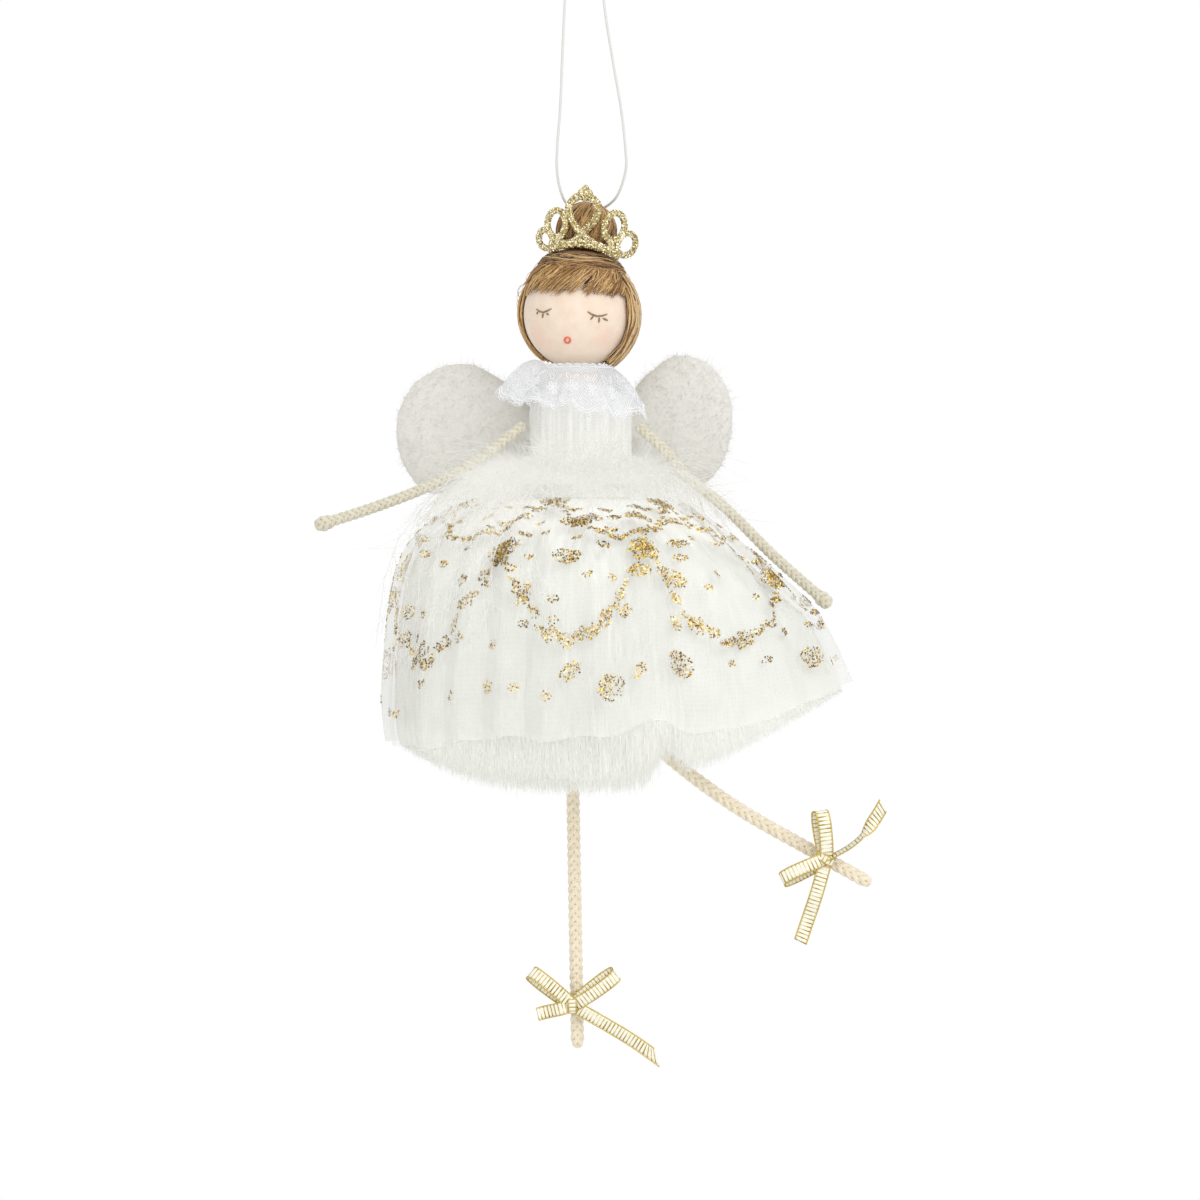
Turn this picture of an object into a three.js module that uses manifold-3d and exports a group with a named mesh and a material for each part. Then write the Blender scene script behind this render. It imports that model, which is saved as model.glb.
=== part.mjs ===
// Fabric angel ornament: a wadding-ball head on a stuffed cotton body, with cord limbs, padded wings,
// a gathered tulle skirt over a fur underskirt, and a thread loop to hang it by.
// Millimetres, +Z up, the doll faces -Y. The origin is the inside of the crest of the hanging loop.
// "Left" and "right" are the viewer's, so left is -X.

import * as THREE from 'three';
import { mergeVertices } from 'three/addons/utils/BufferGeometryUtils.js';
import Module from 'manifold-3d';

const wasm = await Module();
wasm.setup();

// Gap between pieces that lie against each other
const clearance = 0.35;

// Hanging loop
const threadDiameter = 0.6;
const threadSteps = 64;
const loopDrop = 84.3;
const knotRadius = 0.9;

// Topknot: the bun, the roll of hair round its foot and the tiara in front of it
const bunX = 0.3;
const bunY = 0.8;
const bunRadius = 7;
const bunHeight = 11.1;
const bunLean = THREE.MathUtils.degToRad(6.5);
const hairRollRadius = 2.2;
const hairRollRing = 7;
const hairRollSink = 0.6;
const crownStrand = 1.5;
const crownBend = 13;
const crownHalfWidth = 8.05;
const crownArch = 2;
const crownLift = 0.8;
const teardropHeight = 8.7;
const teardropWidth = 7;
const sideLoopHeight = 5.9;
const sideLoopWidth = 4.8;
const endLoopLength = 5.4;
const endLoopWidth = 3.6;
const finialRadius = 1;
const crownStandOff = 0.1;
const teardropFoot = 2.5;
const sideLoopGap = 0.4;
const sideLoopLift = 2.2;
const sideLoopTilt = 12;
const endLoopLift = 0.4;
const endLoopTilt = 38;
const braceBow = 1.8;

// Head
const headX = -1.84;
const ballRadius = 11.55;
const coverWall = 0.35;
const hairThickness = 1.95;
const hairlineY = -1;
const hairDrop = 11.3;
const fringeHeight = 3.7;

// Neck, collar and body
const bodyX = -0.9;
const neckRadius = 4.6;
const neckLength = 4.4;
const neckTuck = 1.2;
const neckBindingDrop = 0.7;
const bindingThread = 1;
const bodiceWidth = 24.4;
const bodiceDepth = 18;
const bodiceLength = 26.4;
const bodiceWall = 0.5;
const shoulderHeight = 7.4;
const laceWall = 0.6;
const laceRuffles = 10;
const laceRuffleDepth = 0.8;
const laceGather = 1.4;
const laceReach = 13.6;
const laceDrop = 8;
const laceLeftPoint = 194;
const laceRightDip = 308;

// Wings
const wingLength = 41.5;
const wingHeight = 15.6;
const wingThickness = 5;
const wingSpineGap = 0.6;
const wingRootHeight = 6;
const wingDrop = 10.6;
const leftWingReach = 1.04;
const rightWingReach = 0.85;
const rightWingRise = 0.07;
const wingSweep = 0.1;
const stitchThread = 0.7;
const stitchReach = 2.6;
const stitchCount = 5;

// Skirt
const skirtLength = 70;
const bodiceBelowWaist = 1.8;
const tulleWall = 0.6;
const furThickness = 3;
const tulleHemShare = 0.87;
const tulleRightDrop = 0.12;
const tulleLeftDrop = 0.08;
const tulleLift = 0.02;
const furHemShare = 0.965;
const furRightDrop = 0.02;
const furLift = 0.11;
const hemLiftAngle = 294;
const hemLiftSpread = 8;
const furSides = 56;
const foldCount = 22;
const foldDepth = 2;
const foldDrift = 1.1;
const foldDriftTurns = 3;
const foldStart = 0.12;
const foldFull = 0.6;
const furTopShare = 0.04;
const trimRadius = 2.9;
const trimStandOff = 4.9;
const trimSink = 0.1;

// Limbs
const leftArmReach = 47.2;
const rightArmReach = 43.4;
const leftLegDrop = 79.4;
const rightLegReach = 61.4;
const armDiameter = 2.7;
const handDiameter = 4.2;
const legDiameter = 3.2;
const wireDiameter = 0.8;
const wireTipCover = 2;
const boreLip = 0.2;
const shoulderLift = 0.2;
const shoulderDrop = 10.7;
const hipSpacing = 6;
const hipX = -0.2;
const thighLength = 44.6;

// Ribbon bows
const ribbonWidth = 3.2;
const ribbonThickness = 0.5;
const leftBowToFoot = 10;
const rightBowToFoot = 11.8;
const bowLoopLength = 12;
const bowTailLength = 20;
const loopOpening = 2;

// Heights that follow from the sizes above
const bunFootZ = -loopDrop - bunHeight;
const coverRadius = ballRadius + clearance + coverWall;
const hairInner = coverRadius + clearance;
const hairOuter = hairInner + hairThickness;
const headZ = bunFootZ - clearance - hairOuter;
const neckTopZ = headZ - coverRadius;
const bodiceTopZ = neckTopZ - neckLength + neckTuck;
const bodiceFootZ = bodiceTopZ - bodiceLength;
const waistZ = bodiceFootZ + bodiceBelowWaist;
const torsoFootZ = bodiceFootZ - clearance;
const thighTopZ = torsoFootZ - clearance;
const kneeZ = thighTopZ - thighLength - clearance - legDiameter / 2;
const headCentre = new THREE.Vector3(headX, 0, headZ);
const bunCentre = new THREE.Vector3(bunX, bunY, -loopDrop - bunRadius);

// Shape tools

function volumeOf(positions, triangles) {
  const corner = [new THREE.Vector3(), new THREE.Vector3(), new THREE.Vector3()];
  let volume = 0;
  for (let i = 0; i < triangles.length; i += 3) {
    for (let k = 0; k < 3; k += 1) {
      corner[k].fromArray(positions, triangles[i + k] * 3);
    }
    volume += corner[0].dot(corner[1].cross(corner[2])) / 6;
  }
  return volume;
}

function bufferGeometry(positions, triangles) {
  const geometry = new THREE.BufferGeometry();
  geometry.setAttribute('position', new THREE.Float32BufferAttribute(positions, 3));
  geometry.setIndex(triangles);
  geometry.computeVertexNormals();
  return geometry;
}

// Skin over a stack of closed rings. A wrapped stack joins its last ring to its first, as a shell
// does round its rims; any other stack is closed by a fan at each end.
function loft(rings, wrapped = false) {
  const sides = rings[0].length;
  const positions = rings.flat().flatMap((point) => [point.x, point.y, point.z]);
  const triangles = [];
  const bands = wrapped ? rings.length : rings.length - 1;
  for (let i = 0; i < bands; i += 1) {
    const lower = i * sides;
    const upper = ((i + 1) % rings.length) * sides;
    for (let j = 0; j < sides; j += 1) {
      const next = (j + 1) % sides;
      triangles.push(lower + j, lower + next, upper + next, lower + j, upper + next, upper + j);
    }
  }
  const fan = (ring, first, forward) => {
    const middle = new THREE.Vector3();
    ring.forEach((point) => middle.add(point));
    middle.divideScalar(sides);
    const hub = positions.length / 3;
    positions.push(middle.x, middle.y, middle.z);
    for (let j = 0; j < sides; j += 1) {
      const next = (j + 1) % sides;
      triangles.push(hub, first + (forward ? j : next), first + (forward ? next : j));
    }
  };
  if (!wrapped) {
    fan(rings[0], 0, false);
    fan(rings.at(-1), (rings.length - 1) * sides, true);
  }
  if (volumeOf(positions, triangles) < 0) {
    triangles.reverse();
  }
  return bufferGeometry(positions, triangles);
}

function ringAt(sides, pointAt) {
  return Array.from({ length: sides }, (_, j) => pointAt((2 * Math.PI * j) / sides));
}

function solidOf(geometry) {
  const plain = geometry.clone();
  plain.deleteAttribute('normal');
  plain.deleteAttribute('uv');
  const merged = mergeVertices(plain, 1e-4);
  const mesh = new wasm.Mesh({
    numProp: 3,
    vertProperties: new Float32Array(merged.attributes.position.array),
    triVerts: new Uint32Array(merged.index.array),
  });
  return new wasm.Manifold(mesh);
}

function geometryOf(solid) {
  const mesh = solid.getMesh();
  return bufferGeometry(Array.from(mesh.vertProperties), Array.from(mesh.triVerts));
}

function joined(geometries) {
  return geometryOf(geometries.map(solidOf).reduce((sum, solid) => sum.add(solid)));
}

function ballGeometry(radius, sides, centre) {
  const ball = new THREE.SphereGeometry(radius, sides, Math.round(sides / 2));
  return ball.translate(centre.x, centre.y, centre.z);
}

function turnedGeometry(profile, sides) {
  const geometry = new THREE.LatheGeometry(profile.map(([r, z]) => new THREE.Vector2(r, z)), sides);
  return geometry.rotateX(Math.PI / 2);
}

function arcProfile(radius, startDegrees, endDegrees, steps) {
  return Array.from({ length: steps + 1 }, (_, i) => {
    const angle = THREE.MathUtils.degToRad(startDegrees + ((endDegrees - startDegrees) * i) / steps);
    return [radius * Math.cos(angle), radius * Math.sin(angle)];
  });
}

const angel = new THREE.Group();

function addPiece(name, geometry, color, roughness, metalness = 0, parent = angel) {
  const material = new THREE.MeshStandardMaterial({ color, roughness, metalness });
  const mesh = new THREE.Mesh(geometry, material);
  mesh.name = name;
  parent.add(mesh);
  return mesh;
}

// Hanging thread: one length of thread, up one side of the loop and down the other, tied at the bun's back
const threadRoute = [
  [-0.75, 8.3, -86.5], [-2.2, 6.4, -85.2], [-3.9, 3.4, -84.9], [-4.9, 1.6, -83.6], [-6.1, 0.7, -79.8],
  [-6.5, 0.2, -76.1], [-6.4, 0, -72.2], [-5.7, 0, -63], [-5.3, 0, -53.1], [-4.6, 0, -37.95],
  [-3.6, 0, -22], [-2.6, 0, -9], [-1.6, 0, -2.2], [0, 0, 0.3], [1.6, 0, -2.2],
  [2.4, 0, -9], [3.2, 0, -22], [4.3, 0, -37.95], [6.6, 0, -53.1], [8.3, 0, -63],
  [9.3, 0, -72.2], [9.5, 0.2, -76.1], [8.7, 0.7, -79.8], [7.1, 1.6, -83.3], [5, 3.6, -85],
  [2.9, 6.4, -85.6], [1.35, 8.3, -86.5],
].map((point) => new THREE.Vector3(...point));

function roundSection(radius, sides) {
  const corner = (angle) => new THREE.Vector2(radius * Math.cos(angle), radius * Math.sin(angle));
  return new THREE.Shape(ringAt(sides, corner));
}

function addHangingThread() {
  const extrudePath = new THREE.CatmullRomCurve3(threadRoute, false, 'centripetal');
  const section = roundSection(threadDiameter / 2, 8);
  const thread = new THREE.ExtrudeGeometry(section, { steps: threadSteps, extrudePath });
  addPiece('hanging_thread', thread, '#e8eae6', 0.4);
  const offset = new THREE.Vector3(0, 0.9, 0.43).setLength(bunRadius + clearance + knotRadius);
  addPiece('thread_knot', ballGeometry(knotRadius, 10, bunCentre.clone().add(offset)), '#e8eae6', 0.4);
}

// Topknot, leaning with the bun
function addTopknot() {
  const topknot = new THREE.Group();
  topknot.position.copy(bunCentre);
  topknot.rotation.y = bunLean;
  angel.add(topknot);

  const footAngle = THREE.MathUtils.radToDeg(Math.asin((bunRadius - bunHeight) / bunRadius));
  const bunProfile = arcProfile(bunRadius, footAngle, 90, 7);
  bunProfile.at(-1)[0] = 0;
  bunProfile.unshift([0, bunRadius - bunHeight]);
  addPiece('hair_bun', turnedGeometry(bunProfile, 18), '#a8845a', 0.75, 0, topknot);

  const rollZ = -bunHeight - hairRollRadius + bunRadius - clearance - hairRollSink;
  const roll = new THREE.TorusGeometry(hairRollRing, hairRollRadius, 7, 22).translate(0, 0, rollZ);
  topknot.updateMatrixWorld(true);
  const headInTopknot = topknot.worldToLocal(headCentre.clone());
  const seat = ballGeometry(hairOuter + clearance, 26, headInTopknot);
  addPiece('hair_roll', geometryOf(solidOf(roll).subtract(solidOf(seat))), '#8f6d45', 0.75, 0, topknot);

  addPiece('crown', crownGeometry(bunRadius - bunHeight + crownLift), '#c8ad5a', 0.35, 0.9, topknot);
}

// Openwork tiara, laid out flat as x across and h up from the base, then bent round the front of the bun.
// A teardrop stands in the middle under a trefoil, with a loop and a lower end loop to each side.
function crownGeometry(baseZ) {
  const strand = crownStrand / 2;
  const front = bunRadius + clearance + strand + crownStandOff;
  const bent = (x, h) => {
    const y = crownBend - Math.sqrt(crownBend ** 2 - x ** 2) - front;
    return new THREE.Vector3(x, y, baseZ + h);
  };
  const archAt = (x) => -crownArch * (x / crownHalfWidth) ** 2;
  const loopTube = (points, steps) => {
    const curve = new THREE.CatmullRomCurve3(points, true, 'centripetal');
    return new THREE.TubeGeometry(curve, steps, strand, 5, true);
  };
  const halfTeardrop = [[0.34, 0.36], [0.5, 0.66], [0.34, 0.93]];
  const otherHalf = halfTeardrop.map(([u, v]) => [-u, v]).reverse();
  const teardrop = [[0, 0], ...halfTeardrop, [0, 1], ...otherHalf];
  const pieces = [
    loopTube(teardrop.map(([u, v]) => bent(u * teardropWidth, teardropFoot + v * teardropHeight)), 20),
  ];
  const oval = (side, centre, width, height, tilt) => {
    const lean = THREE.MathUtils.degToRad(tilt);
    return ringAt(8, (angle) => {
      const across = (width / 2) * Math.cos(angle);
      const up = (height / 2) * Math.sin(angle);
      const x = centre[0] + across * Math.cos(lean) + up * Math.sin(lean);
      return bent(side * x, centre[1] + up * Math.cos(lean) - across * Math.sin(lean));
    });
  };
  const sideLoopX = teardropWidth / 2 + sideLoopWidth / 2 + sideLoopGap;
  const sideLoopH = archAt(sideLoopX) + sideLoopHeight / 2 + sideLoopLift;
  const endLoopX = crownHalfWidth + endLoopLength / 4;
  const endLoopH = archAt(crownHalfWidth) + endLoopWidth / 2 + endLoopLift;
  for (const side of [-1, 1]) {
    const sideLoop = oval(side, [sideLoopX, sideLoopH], sideLoopWidth, sideLoopHeight, sideLoopTilt);
    pieces.push(loopTube(sideLoop, 16));
    pieces.push(loopTube(oval(side, [endLoopX, endLoopH], endLoopLength, endLoopWidth, endLoopTilt), 14));
    const brace = new THREE.CatmullRomCurve3([
      bent(side * sideLoopX, archAt(sideLoopX)),
      bent(side * (sideLoopX - 0.6 * sideLoopWidth / 2), archAt(sideLoopX) + braceBow),
      bent(side * (sideLoopX - sideLoopWidth / 2), sideLoopH),
    ]);
    pieces.push(new THREE.ExtrudeGeometry(roundSection(strand, 5), { steps: 4, extrudePath: brace }));
    pieces.push(ballGeometry(finialRadius * 0.9, 8, bent(side * 1.5, teardropFoot + teardropHeight + 0.9)));
  }
  const basePoints = Array.from({ length: 9 }, (_, i) => {
    const x = crownHalfWidth * (i / 4 - 1);
    return bent(x, archAt(x));
  });
  const base = new THREE.CatmullRomCurve3(basePoints);
  pieces.push(new THREE.ExtrudeGeometry(roundSection(strand * 1.15, 6), { steps: 14, extrudePath: base }));
  const post = new THREE.LineCurve3(bent(0, 0), bent(0, teardropFoot));
  pieces.push(new THREE.ExtrudeGeometry(roundSection(strand, 5), { steps: 1, extrudePath: post }));
  pieces.push(ballGeometry(finialRadius, 8, bent(0, teardropFoot + teardropHeight + finialRadius * 1.7)));
  return joined(pieces);
}

// Head: wadding ball, knit cover drawn together at the neck, and the hair glued over the cover
function addHead() {
  addPiece('head_core', ballGeometry(ballRadius, 18, headCentre), '#f3efe6', 0.9);

  const neckAngle = -THREE.MathUtils.radToDeg(Math.acos(neckRadius / coverRadius));
  const innerNeck = neckRadius - coverWall;
  const innerRadius = coverRadius - coverWall;
  const innerAngle = -THREE.MathUtils.radToDeg(Math.acos(innerNeck / innerRadius));
  const outer = arcProfile(coverRadius, 90, neckAngle, 10);
  const inner = arcProfile(innerRadius, innerAngle, 90, 8);
  const neckFoot = -coverRadius - neckLength;
  const profile = [...outer, [neckRadius, neckFoot], [innerNeck, neckFoot], ...inner].reverse();
  profile[0][0] = 0;
  profile.at(-1)[0] = 0;
  const cover = turnedGeometry(profile, 20).translate(headX, 0, headZ);
  addPiece('head_cover', cover, '#f7e4d2', 0.85);

  const room = 4 * hairOuter;
  const hollow = solidOf(ballGeometry(hairInner, 22, headCentre));
  const shell = solidOf(ballGeometry(hairOuter, 22, headCentre)).subtract(hollow);
  const halfSpace = (x, y, z) => solidOf(new THREE.BoxGeometry(room, room, room).translate(x, y, z));
  const behind = halfSpace(headX, hairlineY + room / 2, headZ);
  const aboveNape = halfSpace(headX, 0, headZ - hairDrop + room / 2);
  addPiece('hair_wrap', geometryOf(shell.intersect(behind).intersect(aboveNape)), '#a8845a', 0.8);
  const before = halfSpace(headX, hairlineY - clearance - room / 2, headZ);
  const aboveBrow = halfSpace(headX, 0, headZ + fringeHeight + room / 2);
  addPiece('hair_fringe', geometryOf(shell.intersect(before).intersect(aboveBrow)), '#b08c60', 0.8);
}

// Body: stuffed torso with a neck stub, the cotton bodice drawn over it, and the thread that binds the neck
function bodiceRings(inset, sides, topZ, footZ) {
  const neck = neckRadius + clearance + bodiceWall;
  const heights = [0, 0.12, 0.35, 0.65, 1];
  const rings = heights.map((share) => {
    const swell = Math.sin((share * Math.PI) / 2) ** 0.8;
    const halfWidth = THREE.MathUtils.lerp(neck, bodiceWidth / 2, swell) - inset;
    const halfDepth = THREE.MathUtils.lerp(neck, bodiceDepth / 2, swell) - inset;
    const z = topZ - share * (shoulderHeight + topZ - bodiceTopZ);
    return ringAt(sides, (angle) => {
      const x = THREE.MathUtils.lerp(headX, bodyX, swell) + halfWidth * Math.cos(angle);
      return new THREE.Vector3(x, halfDepth * Math.sin(angle), z);
    });
  });
  const foot = ringAt(sides, (angle) => {
    const x = bodyX + (bodiceWidth / 2 - inset) * Math.cos(angle);
    return new THREE.Vector3(x, (bodiceDepth / 2 - inset) * Math.sin(angle), footZ);
  });
  return [...rings, foot];
}

function addBody() {
  const outside = bodiceRings(0, 28, bodiceTopZ, bodiceFootZ);
  const inside = bodiceRings(bodiceWall, 28, bodiceTopZ, bodiceFootZ).reverse();
  addPiece('bodice', loft([...outside, ...inside], true), '#f4f5f3', 0.9);

  const stubRadius = neckRadius - coverWall - clearance;
  const coreInset = bodiceWall + clearance;
  const coreTopZ = bodiceTopZ - neckLength;
  const core = bodiceRings(coreInset, 20, coreTopZ, torsoFootZ);
  const stubFoot = ringAt(20, (angle) => {
    const z = neckTopZ - neckLength - clearance;
    return new THREE.Vector3(headX + stubRadius * Math.cos(angle), stubRadius * Math.sin(angle), z);
  });
  const stubTop = stubFoot.map((point) => point.clone().setZ(headZ - ballRadius - clearance));
  addPiece('torso_core', loft([stubTop, stubFoot, ...core.slice(1)]), '#efece4', 0.95);

  const bindingZ = neckTopZ - neckBindingDrop;
  const neckRing = neckRadius + clearance + bindingThread / 2;
  const binding = new THREE.TorusGeometry(neckRing, bindingThread / 2, 5, 18).translate(headX, 0, bindingZ);
  addPiece('neck_binding', binding, '#f2f0ea', 0.8);
}

// Lace collar: a gathered strip round the neck, flaring out over the shoulders in ruffles.
// It stands out most to the front left and lies close at the back, under the wings.
function collarEdge(angle) {
  const front = Math.max(0, -Math.sin(angle));
  const behind = Math.max(0, Math.sin(angle));
  const leftPoint = Math.max(0, Math.cos(angle - THREE.MathUtils.degToRad(laceLeftPoint))) ** 14;
  const rightDip = Math.max(0, Math.cos(angle - THREE.MathUtils.degToRad(laceRightDip))) ** 6;
  const reach = laceReach + 5 * leftPoint - 2.8 * behind + 1.6 * rightDip - 1.2 * front;
  const drop = laceDrop + 1.2 * front + 2.4 * rightDip - 1.6 * leftPoint;
  return { reach, drop };
}

function addCollar() {
  const sides = laceRuffles * 6;
  const neckEdge = neckRadius + clearance + bindingThread + clearance;
  const topZ = headZ - hairDrop - clearance - laceWall;
  const gather = neckEdge + laceGather;
  const stations = [0, 0.3, 0.65, 1];
  const ring = (share, lift) => ringAt(sides, (angle) => {
    const { reach, drop } = collarEdge(angle);
    const ruffle = laceRuffleDepth * share * Math.sin(laceRuffles * angle);
    const radius = THREE.MathUtils.lerp(gather, reach, share ** 0.8) + 0.5 * ruffle;
    const z = topZ - drop * share ** 1.25 + ruffle + lift;
    return new THREE.Vector3(headX + radius * Math.cos(angle), radius * Math.sin(angle), z);
  });
  const under = stations.map((share) => ring(share, 0));
  const over = stations.map((share) => ring(share, laceWall)).reverse();
  addPiece('lace_collar', loft([...under, ...over], true), '#f5f6fa', 0.85);
}

// Wings: two padded lobes, fullest in the middle, sewn to the bodice back at the spine.
// Lobe points are shares of the wing's length outwards and of its height upwards, from the middle of its root.
const wingLobe = [
  [0.241, 0.333], [0.41, 0.76], [0.627, 1.03], [0.867, 0.81], [1, 0.22],
  [0.957, -0.56], [0.819, -0.962], [0.602, -0.801], [0.289, -0.423],
].map(([out, up]) => [out * wingLength, up * wingHeight]);
const wingOutline = [[0, wingRootHeight / 2], ...wingLobe, [0, -wingRootHeight / 2]];
const wingMiddle = new THREE.Vector2(0.53 * wingLength, -0.064 * wingHeight);
const wingRootZ = bodiceTopZ - wingDrop;
const wingFrontY = bodiceDepth / 2 + clearance;

// The wing is thin at its root and swells to its full thickness further out
function wingThicknessAt(out) {
  return wingThickness * THREE.MathUtils.smoothstep(out, -1, wingMiddle.x / 2);
}

// The wing sweeps back a little from its root, and rise lifts its outer end
function wingGeometry(side, reach, rise) {
  const sides = 26;
  const rootX = bodyX + (side * wingSpineGap) / 2;
  const outline = new THREE.CatmullRomCurve3(
    wingOutline.map(([out, up]) => new THREE.Vector3(out, 0, up)), true, 'centripetal');
  const edge = outline.getSpacedPoints(sides).slice(0, sides);
  const ring = (slice) => edge.map((point) => {
    const swell = Math.cos(slice) ** 0.6;
    const out = Math.max(0, wingMiddle.x + (point.x - wingMiddle.x) * swell);
    const up = wingMiddle.y + (point.z - wingMiddle.y) * swell;
    const y = wingFrontY + wingSweep * out + (wingThicknessAt(out) / 2) * (1 + Math.sin(slice));
    return new THREE.Vector3(rootX + side * out * reach, y, wingRootZ + up + rise * out);
  });
  const slices = [-80, -55, -25, 0, 25, 55, 80].map(THREE.MathUtils.degToRad);
  return loft(slices.map(ring));
}

// Lacing of thread that runs to and fro across the two roots, behind them
function stitchingGeometry() {
  const wingBack = wingFrontY + wingSweep * stitchReach + wingThicknessAt(stitchReach);
  const behind = wingBack + clearance + stitchThread / 2;
  const turns = Array.from({ length: stitchCount + 1 }, (_, i) => {
    const side = i % 2 === 0 ? -1 : 1;
    const up = wingRootHeight * 0.4 * (1 - (2 * i) / stitchCount);
    return new THREE.Vector3(bodyX + side * stitchReach, behind, wingRootZ + up);
  });
  const extrudePath = new THREE.CatmullRomCurve3(turns, false, 'centripetal');
  const section = roundSection(stitchThread / 2, 5);
  return new THREE.ExtrudeGeometry(section, { steps: 4 * stitchCount, extrudePath });
}

function addWings() {
  addPiece('left_wing', wingGeometry(-1, leftWingReach, 0), '#ecebe6', 0.95);
  addPiece('right_wing', wingGeometry(1, rightWingReach, rightWingRise), '#ecebe6', 0.95);
  addPiece('wing_stitching', stitchingGeometry(), '#f0eee8', 0.8);
}

// Skirt: tulle and fur hang from the waist on one surface. Each station down the cloth gives how far out
// from the waist and how far down it lies, in skirt lengths, at the left, right, front and back of the doll.
const skirtStations = {
  left: [[0, 0.003], [0.159, 0.037], [0.287, 0.114], [0.394, 0.277], [0.439, 0.643], [0.421, 0.864]],
  right: [[0, 0.003], [0.137, 0.037], [0.287, 0.16], [0.459, 0.314], [0.581, 0.443], [0.681, 0.649]],
  front: [[0, 0.003], [0.133, 0.04], [0.247, 0.123], [0.341, 0.286], [0.39, 0.657], [0.381, 1.009]],
  back: [[0, 0.003], [0.133, 0.04], [0.247, 0.123], [0.341, 0.286], [0.39, 0.629], [0.381, 0.943]],
};
const waistReach = {
  left: bodiceWidth / 2 + 2 * clearance,
  right: bodiceWidth / 2 + 2 * clearance,
  front: bodiceDepth / 2 + 2 * clearance,
  back: bodiceDepth / 2 + 2 * clearance,
};
const skirtCurves = Object.fromEntries(Object.entries(skirtStations).map(([side, stations]) => {
  const points = stations.map(([out, down]) => {
    return new THREE.Vector2(waistReach[side] + out * skirtLength, -down * skirtLength);
  });
  return [side, new THREE.SplineCurve(points)];
}));

function skirtMeridian(share, angle) {
  const right = Math.max(0, Math.cos(angle)) ** 3;
  const left = Math.max(0, -Math.cos(angle)) ** 3;
  const across = 1 - right - left;
  const front = Math.sin(angle) < 0 ? across : 0;
  const weights = { left, right, front, back: across - front };
  const meridian = new THREE.Vector2();
  for (const [side, weight] of Object.entries(weights)) {
    meridian.addScaledVector(skirtCurves[side].getPoint(share), weight);
  }
  return meridian;
}

// Gathered folds, unevenly spaced, that grow from nothing near the waist to their full depth
function foldAt(share, angle) {
  const growth = THREE.MathUtils.smoothstep(share, foldStart, foldFull);
  const turn = foldCount * angle + foldDrift * Math.sin(foldDriftTurns * angle);
  return growth * (0.5 + 0.5 * Math.cos(turn));
}

// A point of the skirt: folds swell out of its surface, and depth sinks below it
function skirtPoint(share, angle, depth, folds) {
  const step = 0.01;
  const here = skirtMeridian(share, angle);
  const below = skirtMeridian(Math.min(1, share + step), angle);
  const along = below.sub(skirtMeridian(Math.max(0, share - step), angle));
  const inward = new THREE.Vector2(along.y, -along.x).normalize();
  here.addScaledVector(inward, depth - folds * foldAt(share, angle));
  return new THREE.Vector3(bodyX + here.x * Math.cos(angle), here.x * Math.sin(angle), waistZ + here.y);
}

// The raised leg lifts the front of the hem where it comes out
function hemLift(angle) {
  const away = angle - THREE.MathUtils.degToRad(hemLiftAngle);
  const offset = THREE.MathUtils.euclideanModulo(away + Math.PI, 2 * Math.PI) - Math.PI;
  return Math.exp(-((offset / THREE.MathUtils.degToRad(hemLiftSpread)) ** 2));
}

// Rows lie at fixed shares of the cloth down to the calf, and below that they are drawn up with the hem
function skirtShell(sides, topShare, hemShare, outerDepth, wall, folds) {
  const fixedRows = [topShare, 0.1, 0.2, 0.3, 0.4, 0.5, 0.6, 0.7];
  const hemRows = [0.5, 1];
  const ring = (depth, shareAt) => {
    return ringAt(sides, (angle) => skirtPoint(shareAt(angle), angle, depth, folds));
  };
  const rowShares = [
    ...fixedRows.map((share) => () => share),
    ...hemRows.map((part) => (angle) => THREE.MathUtils.lerp(fixedRows.at(-1), hemShare(angle), part)),
  ];
  const outside = rowShares.map((shareAt) => ring(outerDepth, shareAt));
  const inside = rowShares.map((shareAt) => ring(outerDepth + wall, shareAt)).reverse();
  return loft([...outside, ...inside], true);
}

function addSkirt() {
  const rightward = (angle) => Math.max(0, Math.cos(angle)) ** 3;
  const leftward = (angle) => Math.max(0, -Math.cos(angle)) ** 3;
  const tulleHem = (angle) => {
    const sides = tulleRightDrop * rightward(angle) + tulleLeftDrop * leftward(angle);
    return tulleHemShare + sides - tulleLift * hemLift(angle);
  };
  const tulle = skirtShell(4 * foldCount, 0, tulleHem, 0, tulleWall, foldDepth);
  addPiece('tulle_overskirt', tulle, '#eef0e9', 0.8);
  const furHem = (angle) => furHemShare + furRightDrop * rightward(angle) - furLift * hemLift(angle);
  const furDepth = tulleWall + clearance;
  const fur = skirtShell(furSides, furTopShare, furHem, furDepth, furThickness, 0);
  addPiece('fur_underskirt', fur, '#f4f5f1', 0.95);

  const halfWidth = bodiceWidth / 2;
  const halfDepth = bodiceDepth / 2;
  const hoop = (reach, radius, z, sides, steps) => loft(Array.from({ length: steps }, (_, i) => {
    const turn = (2 * Math.PI * i) / steps;
    return ringAt(sides, (angle) => {
      const out = reach + radius * Math.cos(angle);
      const x = bodyX + (halfWidth + out) * Math.cos(turn);
      return new THREE.Vector3(x, (halfDepth + out) * Math.sin(turn), z + radius * Math.sin(angle));
    });
  }), true);
  const bindingReach = clearance + bindingThread / 2;
  const binding = hoop(bindingReach, bindingThread / 2, waistZ + bindingThread, 5, 24);
  addPiece('waist_binding', binding, '#f2f0ea', 0.8);
  const trim = hoop(trimStandOff, trimRadius, waistZ + trimRadius - trimSink, 8, 28);
  addPiece('waist_fur', trim, '#f7f7f4', 0.95);
}

// Limbs: braided cord over a wire that holds the pose. The root is a dome about the joint it turns on,
// and the wire's bore opens there. Stations are distances from the root with the cord's radius.
const depthAxis = new THREE.Vector3(0, 1, 0);

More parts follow.
